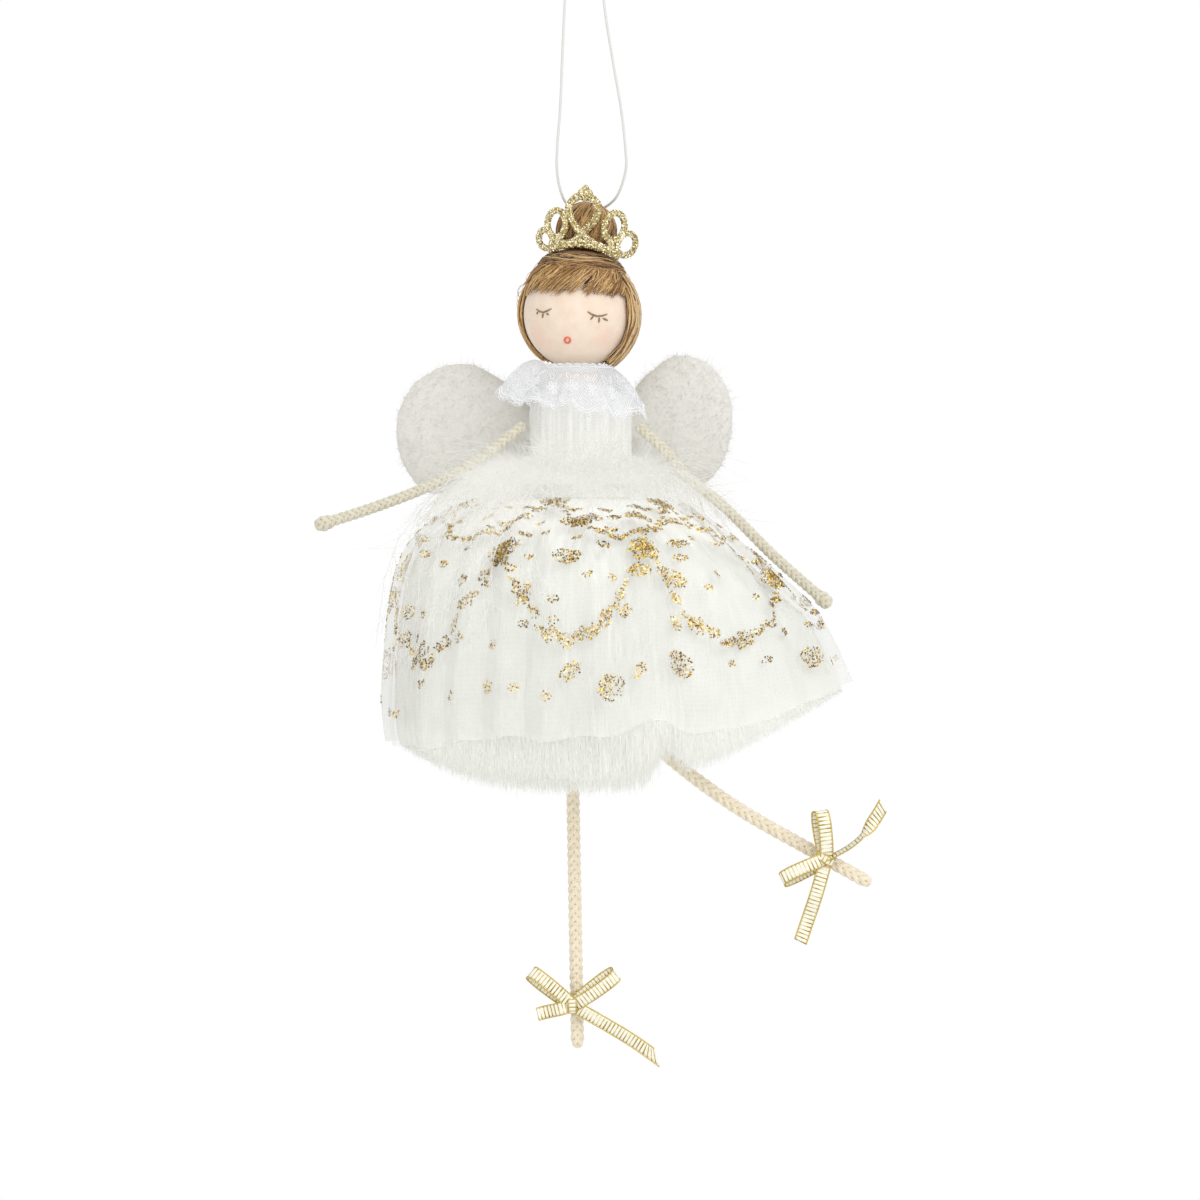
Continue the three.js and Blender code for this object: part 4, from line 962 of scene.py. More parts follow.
# Bun, brought up from its foot, fanning out and turning in at the top
bun_count, bun_stations = 420, 14
bun_start = hair_rng.uniform(0, 2 * np.pi, (bun_count, 1))
bun_rise = np.linspace(0, 1, bun_stations)[None, :]
bun_polar = np.radians(124) * (1 - bun_rise) + np.radians(3)
bun_turn = bun_start + bun_rise * hair_rng.uniform(0.3, 1.3, (bun_count, 1))
bun_turn = bun_turn + waver(hair_rng, bun_count, bun_stations, 0.06)
bun_shell = bun_radius - hair_rng.uniform(0, 0.7, (bun_count, 1))
bun_shell = bun_shell + waver(hair_rng, bun_count, bun_stations, 0.12)
bun_lines = about_bun_axis(bun_place, bun_polar, bun_turn, bun_shell)
bun_strands = hair_layer("bun_strands", bun_lines, thickness=1.3, tone=0.05)
# The bun core's dark tone shows between the strands as painted shade.
bun_core = hair_shell("bun_core", bun_place, bun_radius - 0.8, polar=(2, 150), azimuth=(0, 360), rows=20,
                      columns=40, tone=0.2, wrapped=True)
hair_bun = joined("flax_bun", [bun_strands, bun_core])
finish_piece(hair_bun, ["hair_bun"])

# Crown
# An openwork tiara of flat moulded bands, coated all over with coarse gold glitter. It is glued to the hair
# roll in front of the bun: an arched foot, a tall teardrop, two loops on each side of it, and a pile of
# small beads on top. Each band is two round strands side by side.
crown_rng = np.random.default_rng(31)
crown_stations = 49
crown_strand = 0.52
band_spread = 0.28
crown_bend = 13.0
crown_stand = -8.2
crown_drop = -3.3
crown_half_width = 8.05
crown_lean = math.radians(6.5)
crown_core = 0.86
drop_aside = -1.1
drop_foot = 2.5
drop_height = 8.1
drop_half_width = 4.4
prop_place = 5.5
foot_width, drop_width = 1.3, 1.05
side_widths = [0.95, 0.9, 0.85, 0.85]
# Each loop's place across, height, width, length and outward tilt in degrees, on the left (-1) and the right
crown_loops = {-1: [(-6.9, 3.9, 4.2, 6.2, -8), (-9.0, 0.3, 3.1, 4.4, -22)],
               1: [(6.3, 4.7, 4.6, 6.4, 10), (9.5, 1.2, 3.9, 5.4, 22)]}
# Each bead's place across, height and radius
beads = [(-1.15, 12.4, 0.75), (-2.0, 11.4, 0.85), (-0.3, 11.4, 0.85), (-3.1, 10.2, 0.85), (0.8, 10.2, 0.85),
         (-1.15, 10.8, 1.2)]
flake_count = 19000
flake_radius = 0.17 * mm


def crown_place(across, height):
    """A point of the tiara, given flat as width and height, bent round the bun and leaned with it."""
    across, height = np.broadcast_arrays(np.asarray(across, float), np.asarray(height, float))
    depth = crown_bend - np.sqrt(crown_bend**2 - across**2) + crown_stand
    up = crown_drop + height
    return np.stack([across * math.cos(crown_lean) + up * math.sin(crown_lean), depth,
                     up * math.cos(crown_lean) - across * math.sin(crown_lean)], axis=-1) + bun_place


def crown_arch(across):
    """Height of the tiara's foot, which falls towards its ends."""
    return -2 * (np.asarray(across) / crown_half_width) ** 2


def crown_loop(across, height, width, length, tilt):
    """A standing oval loop, tilted outward."""
    turn = np.linspace(0, 2 * np.pi, crown_stations)
    side, up = 0.5 * width * np.sin(turn), 0.5 * length * np.cos(turn)
    lean = math.radians(tilt)
    return crown_place(across + side * math.cos(lean) + up * math.sin(lean),
                       height + up * math.cos(lean) - side * math.sin(lean))


crown_span = np.linspace(-crown_half_width, crown_half_width, crown_stations)
drop_turn = np.linspace(0, 2 * np.pi, crown_stations)
drop_rise = 0.5 - 0.5 * np.cos(drop_turn)
drop_swell = 0.35 + 0.85 * drop_rise - 0.2 * drop_rise**2
drop_across = drop_half_width * np.sin(drop_turn) * drop_swell + drop_aside
crown_lines = [crown_place(crown_span, crown_arch(crown_span)),
               crown_place(drop_across, drop_foot + drop_height * drop_rise)]
crown_width = [foot_width, drop_width]
brace = np.linspace(0, 1, crown_stations)
for side, loops in crown_loops.items():
    crown_lines += [crown_loop(*loop) for loop in loops]
    strut_across = side * 3.2 * brace**1.6 + drop_aside * (1 - brace)
    crown_lines.append(crown_place(strut_across, drop_foot - 2.7 * brace))
    crown_lines.append(crown_place(side * (prop_place + 0.6 * np.sin(np.pi * brace)),
                                   crown_arch(prop_place) + 2.3 * brace))
    crown_width += side_widths
crown_lines = np.stack(crown_lines)
crown_width = np.array(crown_width)[:, None]
band_side = unit(np.cross(np.gradient(crown_lines, axis=1), [0, 1, 0])) * band_spread * crown_width[..., None]
bead_along = np.cos(np.linspace(np.pi, 0, crown_stations))
bead_profile = np.sqrt(np.clip(1 - bead_along**2, 0.01, 1))
bead_lines = [crown_place(across, height + radius * bead_along) for across, height, radius in beads]
crown_lines = np.concatenate([crown_lines - band_side, crown_lines + band_side, np.stack(bead_lines)])
crown_thickness = np.repeat(np.concatenate([crown_width, crown_width]) * crown_strand, crown_stations, axis=1)
crown_thickness = np.concatenate([crown_thickness] + [radius * bead_profile[None] for _, _, radius in beads])

# Gold lacquer under the glitter: warm, uneven metal
gold_lacquer = fibre_material("gold_lacquer", [(0.2, "#857542"), (0.8, "#c4b277")], 0.4 * mm,
                              {"Metallic": 0.85, "Roughness": 0.4})
crown_wire = strands("crown_wire", crown_lines * mm, crown_core * crown_thickness * mm, gold_lacquer, sides=8)

# Each fleck of glitter is a six-sided foil, set on a point with its own turn, size and shade.
flake_tree, flake_inputs, flake_in = new_group("glitter", {"Points": "Geometry", "Foil": "Material"})
flake_shape = add_node(flake_tree, "GeometryNodeMeshCircle", {"Vertices": 6, "Radius": 1.0}, fill_type="NGON")
flake_euler = add_node(flake_tree, "FunctionNodeEulerToRotation",
                       {0: point_value(flake_tree, "turn", "FLOAT_VECTOR")})
flake_set = add_node(flake_tree, "GeometryNodeInstanceOnPoints", {
    "Points": flake_in.outputs["Points"], "Instance": flake_shape, "Rotation": flake_euler,
    "Scale": point_value(flake_tree, "size")})
close_group(flake_tree, flake_set, flake_in.outputs["Foil"])


def glitter(name, places, normals, size, tilt, material, rng, tone):
    """Foil flakes at places, lying near flat on the surface there, each with its own size, tilt and shade."""
    count = len(places)
    facing = unit(normals + tilt * rng.normal(0, 1, (count, 3)))
    turn = np.stack([np.zeros(count), np.arccos(np.clip(facing[:, 2], -1, 1)),
                     np.arctan2(facing[:, 1], facing[:, 0])], axis=1).astype(np.float32)
    mesh = bpy.data.meshes.new(name)
    mesh.vertices.add(count)
    mesh.vertices.foreach_set("co", np.asarray(places, np.float32).ravel())
    mesh.attributes.new("turn", "FLOAT_VECTOR", "POINT").data.foreach_set("vector", turn.ravel())
    # The random spread of shade paints glints and dark flecks, as if each faced the light differently.
    store(mesh, size=size * rng.uniform(0.7, 1.2, count), shade=tone + rng.uniform(-0.5, 0.5, count))
    flakes = grown(name, mesh, flake_tree, {flake_inputs["Foil"]: material})
    flakes.data.shade_flat()
    return flakes


# Glitter foil: hard, bright metal flecks; each fleck's random shade paints it as a near-white glint or dark
# bronze shade
foil_stops = [(0.05, "#705a2c"), (0.25, "#b99d59"), (0.5, "#ecdb9c"), (0.8, "#fffae2")]
glitter_foil = fibre_material("gold_glitter_foil", foil_stops, 0.6 * mm, {"Metallic": 0.6, "Roughness": 0.3})
flake_line = crown_rng.integers(0, len(crown_lines), flake_count)
flake_step = crown_rng.integers(0, crown_stations - 1, flake_count)
flake_mix = crown_rng.uniform(0, 1, (flake_count, 1))
flake_start, flake_end = crown_lines[flake_line, flake_step], crown_lines[flake_line, flake_step + 1]
flake_middle = flake_start * (1 - flake_mix) + flake_end * flake_mix
flake_along = unit(flake_end - flake_start)
flake_out = crown_rng.normal(0, 1, (flake_count, 3))
flake_out = unit(flake_out - flake_along * (flake_out * flake_along).sum(axis=1, keepdims=True))
flake_place = flake_middle + flake_out * 0.92 * crown_thickness[flake_line, flake_step][:, None]
flake_aside = np.clip(np.abs(flake_place[:, 0] - bun_place[0]) / crown_half_width, 0, 1)
crown_flakes = glitter("crown_flakes", flake_place * mm, flake_out, flake_radius, tilt=0.5,
                       material=glitter_foil, rng=crown_rng, tone=0.55 + 0.26 * flake_aside)
crown = joined("glitter_tiara", [crown_wire, crown_flakes])
finish_piece(crown, ["crown"])

# Arms
# The same braided cord as the legs but thinner and greyer, sewn to the sides of the bodice. Each ends in a
# rounded hand, where the cord is knotted back into itself.
arm_radius = 1.35 * mm
arm_pitch = 6 * mm
hand_radius = 2.1 * mm
hand_spread = 1.35 * mm
sewn_run = 1.2 * mm
arm_routes = {
    "left": ((-14.8, 0, -136.25), [(1.05, 0, 0.8), (0, 0, 0), (-11.1, 0, -8.5), (-20.2, 0, -13.1),
                                   (-35.5, 0, -19), (-47.2, 0, -22.7)]),
    "right": ((13.0, 0, -136.65), [(-0.95, 0, 0.85), (0, 0, 0), (5.4, 0, -5), (10.3, 0, -10.9),
                                   (17.2, 0, -16.3), (31, 0, -29.7), (43.4, 0, -40.6)]),
}
# Natural cotton cord: matt greyish cream; the darker lines between its yarns are painted shade
arm_cotton = fibre_material(
    "natural_cotton_cord", [(0.1, "#a1977a"), (0.45, "#d2ccb6"), (0.9, "#efebdd")], 1.2 * mm,
    {"Roughness": 0.92, "Sheen Weight": 0.25, "Specular IOR Level": 0.2})
for side, (shoulder, route) in arm_routes.items():
    path = (smooth_path(route, 0.4) + shoulder) * mm
    run = run_of(path)
    to_hand = run[-1] - run
    swell = 1 + (hand_radius / arm_radius - 1) * np.exp(-((to_hand - hand_radius) / hand_spread) ** 4)
    hand_ball = np.sqrt(np.clip(to_hand * (2 * hand_radius - to_hand), 0, None)) / arm_radius + 0.02
    swell = np.where(to_hand > hand_radius, swell, np.minimum(swell, hand_ball))
    swell *= np.clip(0.35 + run / sewn_run, 0, 1)
    arm = braided_cord(f"{side}_arm_braid", path, arm_radius, arm_cotton, pitch=arm_pitch,
                       swell=swell, seed=4)
    finish_piece(arm, [f"{side}_arm_cord"], f"{side}_arm")

# Wings
# Two soft pads of brushed white felt with a little stuffing, each a rounded lobe that narrows to its root.
# They stand behind the body, and their roots are sewn to its back with a few crossing stitches.
wing_rng = np.random.default_rng(41)
wing_length = 41.5
wing_height = 15.6
wing_root = 6.0
wing_root_z = -136.35
wing_front = 9.35
wing_middle = np.array([22.0, -1.0])
wing_thick = 5.0
wing_fullness = 1.02
wing_sweep = 0.1
wing_shape = [(0.241, 0.333), (0.41, 0.76), (0.627, 1.03), (0.867, 0.81), (1, 0.22), (0.957, -0.56),
              (0.819, -0.962), (0.602, -0.801), (0.289, -0.423)]
# Each wing's way out, its length and its rise per millimetre out, as shares of the drawn one
wing_sides = {"left": (-1, 1.04, 0.0), "right": (1, 0.85, 0.07)}
slice_reach = 0.47 * np.pi
fuzz_count = 5400
fuzz_radius = 0.024 * mm
stitch_turns = 6
stitch_aside = 2.6
stitch_rise = 2.4
stitch_radius = 0.19 * mm
ply_gap = 0.15
ply_pitch = 1.6


def smooth_share(value, low, high):
    """An S-shaped rise from 0 at low to 1 at high."""
    t = np.clip((value - low) / (high - low), 0, 1)
    return t * t * (3 - 2 * t)


def wing_thickness(out):
    """How thick the pad is, by distance from its root."""
    return wing_thick * smooth_share(out, -1, 11)


wing_line = np.array([(0, 0.5 * wing_root), *[(x * wing_length, z * wing_height) for x, z in wing_shape],
                      (0, -0.5 * wing_root)])
wing_line = smooth_path(np.insert(wing_line, 1, 0, axis=1), 0.8)[:, [0, 2]]

# Brushed felt: matt warm white, mottled, with a haze of fine fibre over it
felt, felt_tree, felt_shader = new_material(
    "brushed_white_felt", {"Roughness": 1.0, "Sheen Weight": 0.4, "Specular IOR Level": 0.15})
felt_mottle = mottle(felt_tree, 1.0 * mm, detail=5.0, roughness=0.65)
set_inputs(felt_tree, felt_shader, {
    "Base Color": ramp(felt_tree, felt_mottle, [(0.3, "#dddcd6"), (0.5, "#e2e1db"), (0.7, "#e7e6e2")]),
    "Normal": relief(felt_tree, felt_mottle, 0.1, 0.25 * mm)})
felt_fibre = fibre_material("felt_fibre", [(0.2, "#e2e1dc"), (0.8, "#f7f6f4")], 0.5 * mm, {"Roughness": 1.0})
for side, (way, stretch, rise) in wing_sides.items():
    rings = []
    for slice_angle in np.linspace(-slice_reach, slice_reach, 9):
        flat = wing_middle + (wing_line - wing_middle) * math.cos(slice_angle) ** 0.6 * wing_fullness
        out = np.maximum(flat[:, 0], 0)
        depth = wing_front + wing_sweep * out + wing_thickness(out) * (0.5 + 0.46 * math.sin(slice_angle))
        across = body_x + way * (0.3 + out * stretch)
        rings.append(np.stack([across, depth, wing_root_z + flat[:, 1] + rise * out], axis=1))
    rings = np.stack(rings)[:, ::-way]
    pad = stuffed(f"{side}_wing_pad", rings * mm, voxel=0.75 * mm, pressure=2.0, cap=0.45 * mm)
    pad.data.materials.append(felt)
    pad_places = coordinates(pad.data)
    root = wing_rng.integers(0, len(pad_places), fuzz_count)
    root_normals = np.array([pad.data.vertices[int(i)].normal for i in root])
    lean = 0.5 * root_normals + wing_rng.normal(0, 0.6, (fuzz_count, 3))
    along = np.array([-0.03, 0.2, 0.5])[None, :, None]
    curl = wing_rng.normal(0, 0.5, (fuzz_count, 1, 3)) * along**2
    length = wing_rng.uniform(0.7, 2.4, (fuzz_count, 1, 1))
    fuzz_lines = pad_places[root][:, None] + length * (lean[:, None] * along + curl) * mm
    fuzz_shade = wing_rng.uniform(0.2, 0.8, fuzz_count)
    fuzz = strands(f"{side}_wing_fuzz", fuzz_lines, fuzz_radius, felt_fibre, fuzz_shade)
    wing = joined(f"{side}_felt_wing", [pad, fuzz])
    finish_piece(wing, [f"{side}_wing"])
stitch_depth = wing_front + wing_sweep * stitch_aside + wing_thickness(stitch_aside) + 0.7
stitch_route = [(body_x + stitch_aside * (-1) ** i, stitch_depth,
                 wing_root_z + stitch_rise * (1 - 2 * i / (stitch_turns - 1))) for i in range(stitch_turns)]
stitch_line = smooth_path(stitch_route, 0.25)
stitch_turn = run_of(stitch_line)[:, None] * 2 * np.pi / ply_pitch
_, stitch_first, stitch_second = cross_axes(stitch_line)
stitch_plies = [stitch_line + ply_gap * (np.cos(stitch_turn + ply) * stitch_first
                                         + np.sin(stitch_turn + ply) * stitch_second) for ply in (0, np.pi)]
wing_stitching = strands("wing_stitches", np.stack(stitch_plies) * mm, stitch_radius, thread_material,
                         sides=6)
finish_piece(wing_stitching, ["wing_stitching"])

# Skirt form
# Both skirts hang from the waist over one shape: gathered flat on the top, round at the sides, and lifted on
# the right by the raised leg. Shares of the skirt's length give how far out and down it has come.
waist_z = -150.35
waist_half = np.array([12.9, 9.7])
skirt_length = 70.0
skirt_lines = {
    "left": [(0, 0.003), (0.159, 0.037), (0.287, 0.114), (0.394, 0.277), (0.439, 0.643), (0.421, 0.864)],
    "right": [(0, 0.003), (0.137, 0.037), (0.287, 0.16), (0.459, 0.314), (0.581, 0.443), (0.681, 0.649)],
    "front": [(0, 0.003), (0.133, 0.04), (0.247, 0.123), (0.341, 0.286), (0.39, 0.657), (0.381, 1.009)],
    "back": [(0, 0.003), (0.133, 0.04), (0.247, 0.123), (0.341, 0.286), (0.39, 0.629), (0.381, 0.943)],
}
raised_leg_angle = np.radians(294)
raised_leg_width = np.radians(8)
fold_count = 22
fold_depth = 2.0
crease_depth = 0.3
crease_rng = np.random.default_rng(53)
creases = [(crease_rng.integers(30, 90), crease_rng.uniform(0, 2 * np.pi)) for _ in range(8)]


def skirt_curve(line, share):
    """Out and down of one side of the skirt, on a smooth curve through its points."""
    points = np.array(line)
    legs = len(points) - 1
    padded = np.concatenate([points[:1], points, points[-1:]])
    spot = np.clip(share, 0, 1) * legs
    leg = np.clip(np.floor(spot).astype(int), 0, legs - 1)
    t = (spot - leg)[..., None]
    before, start, end, after = (padded[leg + k] for k in range(4))
    slope_in, slope_out = 0.5 * (end - before), 0.5 * (after - start)
    return ((2 * t**3 - 3 * t**2 + 1) * start + (t**3 - 2 * t**2 + t) * slope_in
            + (3 * t**2 - 2 * t**3) * end + (t**3 - t**2) * slope_out)


def rightward(angle):
    """1 on the right side of the skirt and 0 elsewhere."""
    return np.maximum(0, np.cos(angle)) ** 3


def leftward(angle):
    """1 on the left side of the skirt and 0 elsewhere."""
    return np.maximum(0, -np.cos(angle)) ** 3


def skirt_reach(angle, share):
    """Out and down in mm at an angle round the skirt and a share of its length, mixed from its four sides."""
    right = rightward(angle)
    left = leftward(angle)
    rest = 1 - right - left
    front = np.where(np.sin(angle) < 0, rest, 0)
    weights = {"left": left, "right": right, "front": front, "back": rest - front}
    return skirt_length * sum(weights[name][..., None] * skirt_curve(line, share)
                              for name, line in skirt_lines.items())


def skirt_point(angle, share, inward=0.0):
    """A point on the skirt's shape, moved in from it by a depth. Past the hem it runs straight on."""
    angle, share, inward = np.broadcast_arrays(angle, share, inward)
    step = 0.01
    held = np.clip(share, 0, 1)
    above, below = np.maximum(held - step, 0), np.minimum(held + step, 1)
    slope = (skirt_reach(angle, below) - skirt_reach(angle, above)) / (below - above)[..., None]
    here = skirt_reach(angle, held) + slope * (share - held)[..., None]
    heading = unit(slope)
    out = here[..., 0] - heading[..., 1] * inward
    down = here[..., 1] + heading[..., 0] * inward
    return np.stack([body_x + np.cos(angle) * (waist_half[0] + out), np.sin(angle) * (waist_half[1] + out),
                     waist_z - down], axis=-1)


def hem_lift(angle):
    """How much the raised leg lifts the hem, 1 right over the leg."""
    off = (np.asarray(angle) - raised_leg_angle + np.pi) % (2 * np.pi) - np.pi
    return np.exp(-(off / raised_leg_width) ** 2)


def tulle_fold(angle, share):
    """How far the tulle stands out in uneven gathered folds, which grow from the waist, with fine creases."""
    fold = 0.5 + 0.5 * np.cos(fold_count * angle + 1.1 * np.sin(3 * angle))
    crease = sum(np.cos(count * angle + phase + 2 * share) for count, phase in creases) / len(creases)
    folds = fold_depth * smooth_share(share, 0.12, 0.6) * fold
    return folds + crease_depth * smooth_share(share, 0.02, 0.2) * (1 + crease)


# Fur underskirt
# White long-haired fur cloth, its knitted backing gathered at the waist with the pile outside. The pile is
# dense, about a centimetre long, and shows below the tulle's hem as a soft even edge.
fur_rng = np.random.default_rng(61)
fur_depth = 2.7
fur_width, fur_height = 220, 62
backing_columns, backing_rows = 180, 44
backing_pitch = 1.2
pile_share = 0.07
locks_per_radian = 60 / np.pi
hair_profile = np.array([0.1, 0.1, 0.08, 0.03]) * mm


def fur_hem(angle):
    """Where the fur's hair ends, as a share of the skirt."""
    return 0.965 + 0.04 * rightward(angle) - 0.01 * leftward(angle) - 0.11 * hem_lift(angle)


# Knitted backing: matt white, with rows of small stitches that hardly show
backing, backing_tree, backing_shader = new_material(
    "knitted_fur_backing", {"Roughness": 0.95, "Sheen Weight": 0.2})
backing_uv = add_node(backing_tree, "ShaderNodeUVMap", uv_map="backing")
backing_stitches = bands(backing_tree, backing_uv, backing_pitch, "Y")
set_inputs(backing_tree, backing_shader, {
    "Base Color": ramp(backing_tree, backing_stitches, [(0.2, "#f6f7f4"), (0.8, "#fcfcfa")]),
    "Normal": relief(backing_tree, backing_stitches, 0.3, 0.1 * mm)})
backing_angle = np.linspace(0, 2 * np.pi, backing_columns, endpoint=False)[None, :]
backing_share = np.linspace(0.03, 1, backing_rows)[:, None] * (fur_hem(backing_angle) - pile_share)
backing_points = skirt_point(backing_angle, backing_share, fur_depth)
backing_flat = flat_layout(fur_width, fur_height, backing_columns + 1, backing_rows)
fur_cloth = cloth_grid("fur_cloth", backing_points * mm, "backing", backing_flat, backing, wrapped=True)
backing_gauge = fur_cloth.modifiers.new("gauge", "SOLIDIFY")
backing_gauge.thickness = 0.5 * mm
plain_mesh(fur_cloth)
finish_piece(fur_cloth, ["fur_underskirt"])

# Fur pile: fine bright white hair; light passes through it, so it throws no shadow of its own here
fur_hair = fibre_material("white_fur_pile", [(0.0, "#eef0ea"), (0.5, "#f7f8f3"), (1.0, "#fefefb")], 0.8 * mm,
                          {"Roughness": 0.8, "Sheen Weight": 0.2, "Specular IOR Level": 0.2})


def fur_pile(name, low, high, count):
    """Hair over a range of angles: rooted in the backing, lying down along it, thickest near the hem."""
    angle = fur_rng.uniform(np.radians(low), np.radians(high), (count, 1))
    length = fur_rng.uniform(0.08, 0.12, (count, 1))
    root = fur_hem(angle) + fur_rng.normal(0, 0.008, (count, 1)) - length
    beside_leg = 1 - 0.7 * smooth_share(angle, np.radians(290), np.radians(301))
    length = length + 0.11 * hem_lift(angle) * beside_leg
    root = root - 0.5 * fur_rng.uniform(0, 1, (count, 1)) ** 3
    lock = np.round(angle * locks_per_radian + fur_rng.normal(0, 0.4, (count, 1))) / locks_per_radian
    along = np.linspace(0, 1, len(hair_profile))[None, :]
    drawn = angle + (lock - angle) * 0.35 * along**1.5 + fur_rng.normal(0, 0.02, (count, 1)) * along
    depth = fur_depth - 1.5 * np.sin(np.pi * 0.6 * along) + fur_rng.normal(0, 0.3, (count, 1)) * along
    lines = skirt_point(drawn, root + length * along, np.maximum(depth, 0.9))
    # Painted shade: each hair is darker at its root, where it lies under the others, and paler towards its
    # tip.
    tone = fur_rng.uniform(0.2, 0.8, (count, 1)) + 0.2 * along
    pile = strands(name, lines * mm, np.tile(hair_profile, (count, 1)), fur_hair, tone)
    pile.visible_shadow = False
    return finish_piece(pile)


fur_quarters = [
    fur_pile("fur_pile_front_left", low=180, high=270, count=8200),
    fur_pile("fur_pile_front_right", low=270, high=360, count=8200),
    fur_pile("fur_pile_back_right", low=0, high=90, count=4600),
    fur_pile("fur_pile_back_left", low=90, high=180, count=4600)]

# Tulle overskirt
# Fine pale net, gathered at the waist over the fur and falling in soft folds to a plain cut hem. Gold glitter
# is printed on it: dots of several sizes, and beaded swags that meet in small clusters.
tulle_columns, tulle_rows = 420, 84
tulle_width, tulle_height = 250, 70
tulle_cell = 0.65
# Each row of swags: how many, where the first begins, its share of the skirt's length, and its sag
swag_rows = [(6, 0.28, 0.28, 0.27), (7, 0.62, 0.62, 0.2)]
swag_spots = 44
cluster_spots = 7
dot_columns, dot_rows = 32, 7
dot_sizes = [0.7, 1.0, 1.4, 1.9]
dot_odds = [0.4, 0.32, 0.19, 0.09]
fleck_radius = 0.19 * mm
fleck_lift = 0.12
print_height = 72


def tulle_hem(angle):
    """Where the tulle is cut, as a share of the skirt, with a slight wander."""
    wander = 0.004 * np.sin(7 * angle + 1) + 0.003 * np.sin(17 * angle)
    return 0.87 + 0.12 * rightward(angle) + 0.08 * leftward(angle) - 0.02 * hem_lift(angle) + wander


def tulle_point(angle, share, lift=0.0):
    """A point on the tulle by angle and share of its own length, or a little above it."""
    whole = share * tulle_hem(angle)
    return skirt_point(angle, whole, -tulle_fold(angle, whole) - lift)


def net_cells(tree, layout, cell, randomness):
    """Distance from the threads of a net, by a sheet's flat layout."""
    flat = add_node(tree, "ShaderNodeUVMap", uv_map=layout)
    return add_node(tree, "ShaderNodeTexVoronoi",
                    {"Vector": flat, "Scale": 1 / cell, "Randomness": randomness},
                    voronoi_dimensions="2D", feature="DISTANCE_TO_EDGE").outputs["Distance"]


# Tulle: a see-through net of fine thread, drawn coarser than the real one, with slow changes of tone
tulle_net, tulle_tree, tulle_shader = new_material(
    "gathered_tulle_net", {"Roughness": 0.75, "Alpha": 0.36, "Sheen Weight": 0.2, "Specular IOR Level": 0.25})
tulle_cells = net_cells(tulle_tree, "net", tulle_cell, 0.55)
tulle_tone = maths(tulle_tree, "MULTIPLY_ADD", tulle_cells, -0.9, mottle(tulle_tree, 7 * mm, detail=3.0))
set_inputs(tulle_tree, tulle_shader, {
    "Base Color": ramp(tulle_tree, tulle_tone, [(0.05, "#f3f4f0"), (0.4, "#f8f9f5"), (0.7, "#fcfdfa")]),
    "Normal": relief(tulle_tree, tulle_cells, 0.5, 0.15 * mm, sunk=True)})
tulle_angle = np.linspace(0, 2 * np.pi, tulle_columns, endpoint=False)[None, :]
tulle_points = tulle_point(tulle_angle, np.linspace(0, 1, tulle_rows)[:, None])
tulle_flat = flat_layout(tulle_width, tulle_height, tulle_columns + 1, tulle_rows)
tulle = cloth_grid("tulle_skirt", tulle_points * mm, "net", tulle_flat, tulle_net, wrapped=True)
tulle.visible_shadow = False
finish_piece(tulle, ["tulle_overskirt"])

# The print, laid out by angle round the skirt and share down it: two rows of swags with a cluster where they
# meet, and round dots of several sizes between them. Each spot is a patch of flecks.
print_rng = np.random.default_rng(67)
spots = []
for swags, offset, level, sag in swag_rows:
    bead = np.arange(swag_spots * swags)
    phase = (bead / swag_spots) % 1
    wander = 0.008 * np.sin(0.9 * bead) + 0.006 * np.sin(2.3 * bead)
    spots.append((2 * np.pi * bead / (swag_spots * swags) + offset,
                  level + sag * (1 - (2 * phase - 1) ** 2) + wander,
                  np.where(bead % 4 == 0, 0.85, 0.5)))
    petal = np.arange(cluster_spots * swags)
    turn = 2 * np.pi * (petal % cluster_spots) / (cluster_spots - 1)
    out = np.where(petal % cluster_spots < cluster_spots - 1, 1, 0)
    spots.append((2 * np.pi * (petal // cluster_spots) / swags + offset + 0.05 * out * np.cos(turn),
                  level + 0.03 * out * np.sin(turn), np.full(len(petal), 1.15)))
dot = np.arange(dot_columns * dot_rows)
dot_row = dot // dot_columns
dot_shift = print_rng.uniform(-0.36, 0.36, (2, len(dot)))
spots.append((2 * np.pi * (dot % dot_columns + 0.5 * dot_row + dot_shift[0]) / dot_columns,
              0.3 + 0.64 * (dot_row + 0.5 + dot_shift[1]) / dot_rows,
              print_rng.choice(dot_sizes, len(dot), p=dot_odds)))
spot_angle, spot_share, spot_radius = (np.concatenate(values) for values in zip(*spots))
# Painted light: each spot's tone, in slow bands and from spot to spot, stands for how the printed glitter
# catches the light.
spot_wander = print_rng.normal(0, 0.08, len(spot_angle))
spot_painted_light = 0.48 + 0.14 * np.sin(3 * spot_angle + 7 * spot_share) + spot_wander
fleck_number = np.round(42 * spot_radius**2 + 2).astype(int)
fleck_spot = np.repeat(np.arange(len(spot_angle)), fleck_number)
fleck_count = len(fleck_spot)
fleck_turn = print_rng.uniform(0, 2 * np.pi, fleck_count)
fleck_out = spot_radius[fleck_spot] * np.sqrt(print_rng.uniform(0, 1, fleck_count))
spot_reach = 0.9 * skirt_reach(spot_angle, spot_share)[..., 0]
fleck_angle = spot_angle[fleck_spot] + fleck_out * np.cos(fleck_turn) / spot_reach[fleck_spot]
fleck_share = np.clip(spot_share[fleck_spot] + fleck_out * np.sin(fleck_turn) / print_height, 0.02, 0.99)
fleck_place = tulle_point(fleck_angle, fleck_share, fleck_lift)
fleck_side = tulle_point(fleck_angle + 0.01, fleck_share) - tulle_point(fleck_angle - 0.01, fleck_share)
fleck_down = tulle_point(fleck_angle, fleck_share + 0.01) - tulle_point(fleck_angle, fleck_share - 0.01)
fleck_normal = unit(np.cross(fleck_down, fleck_side))
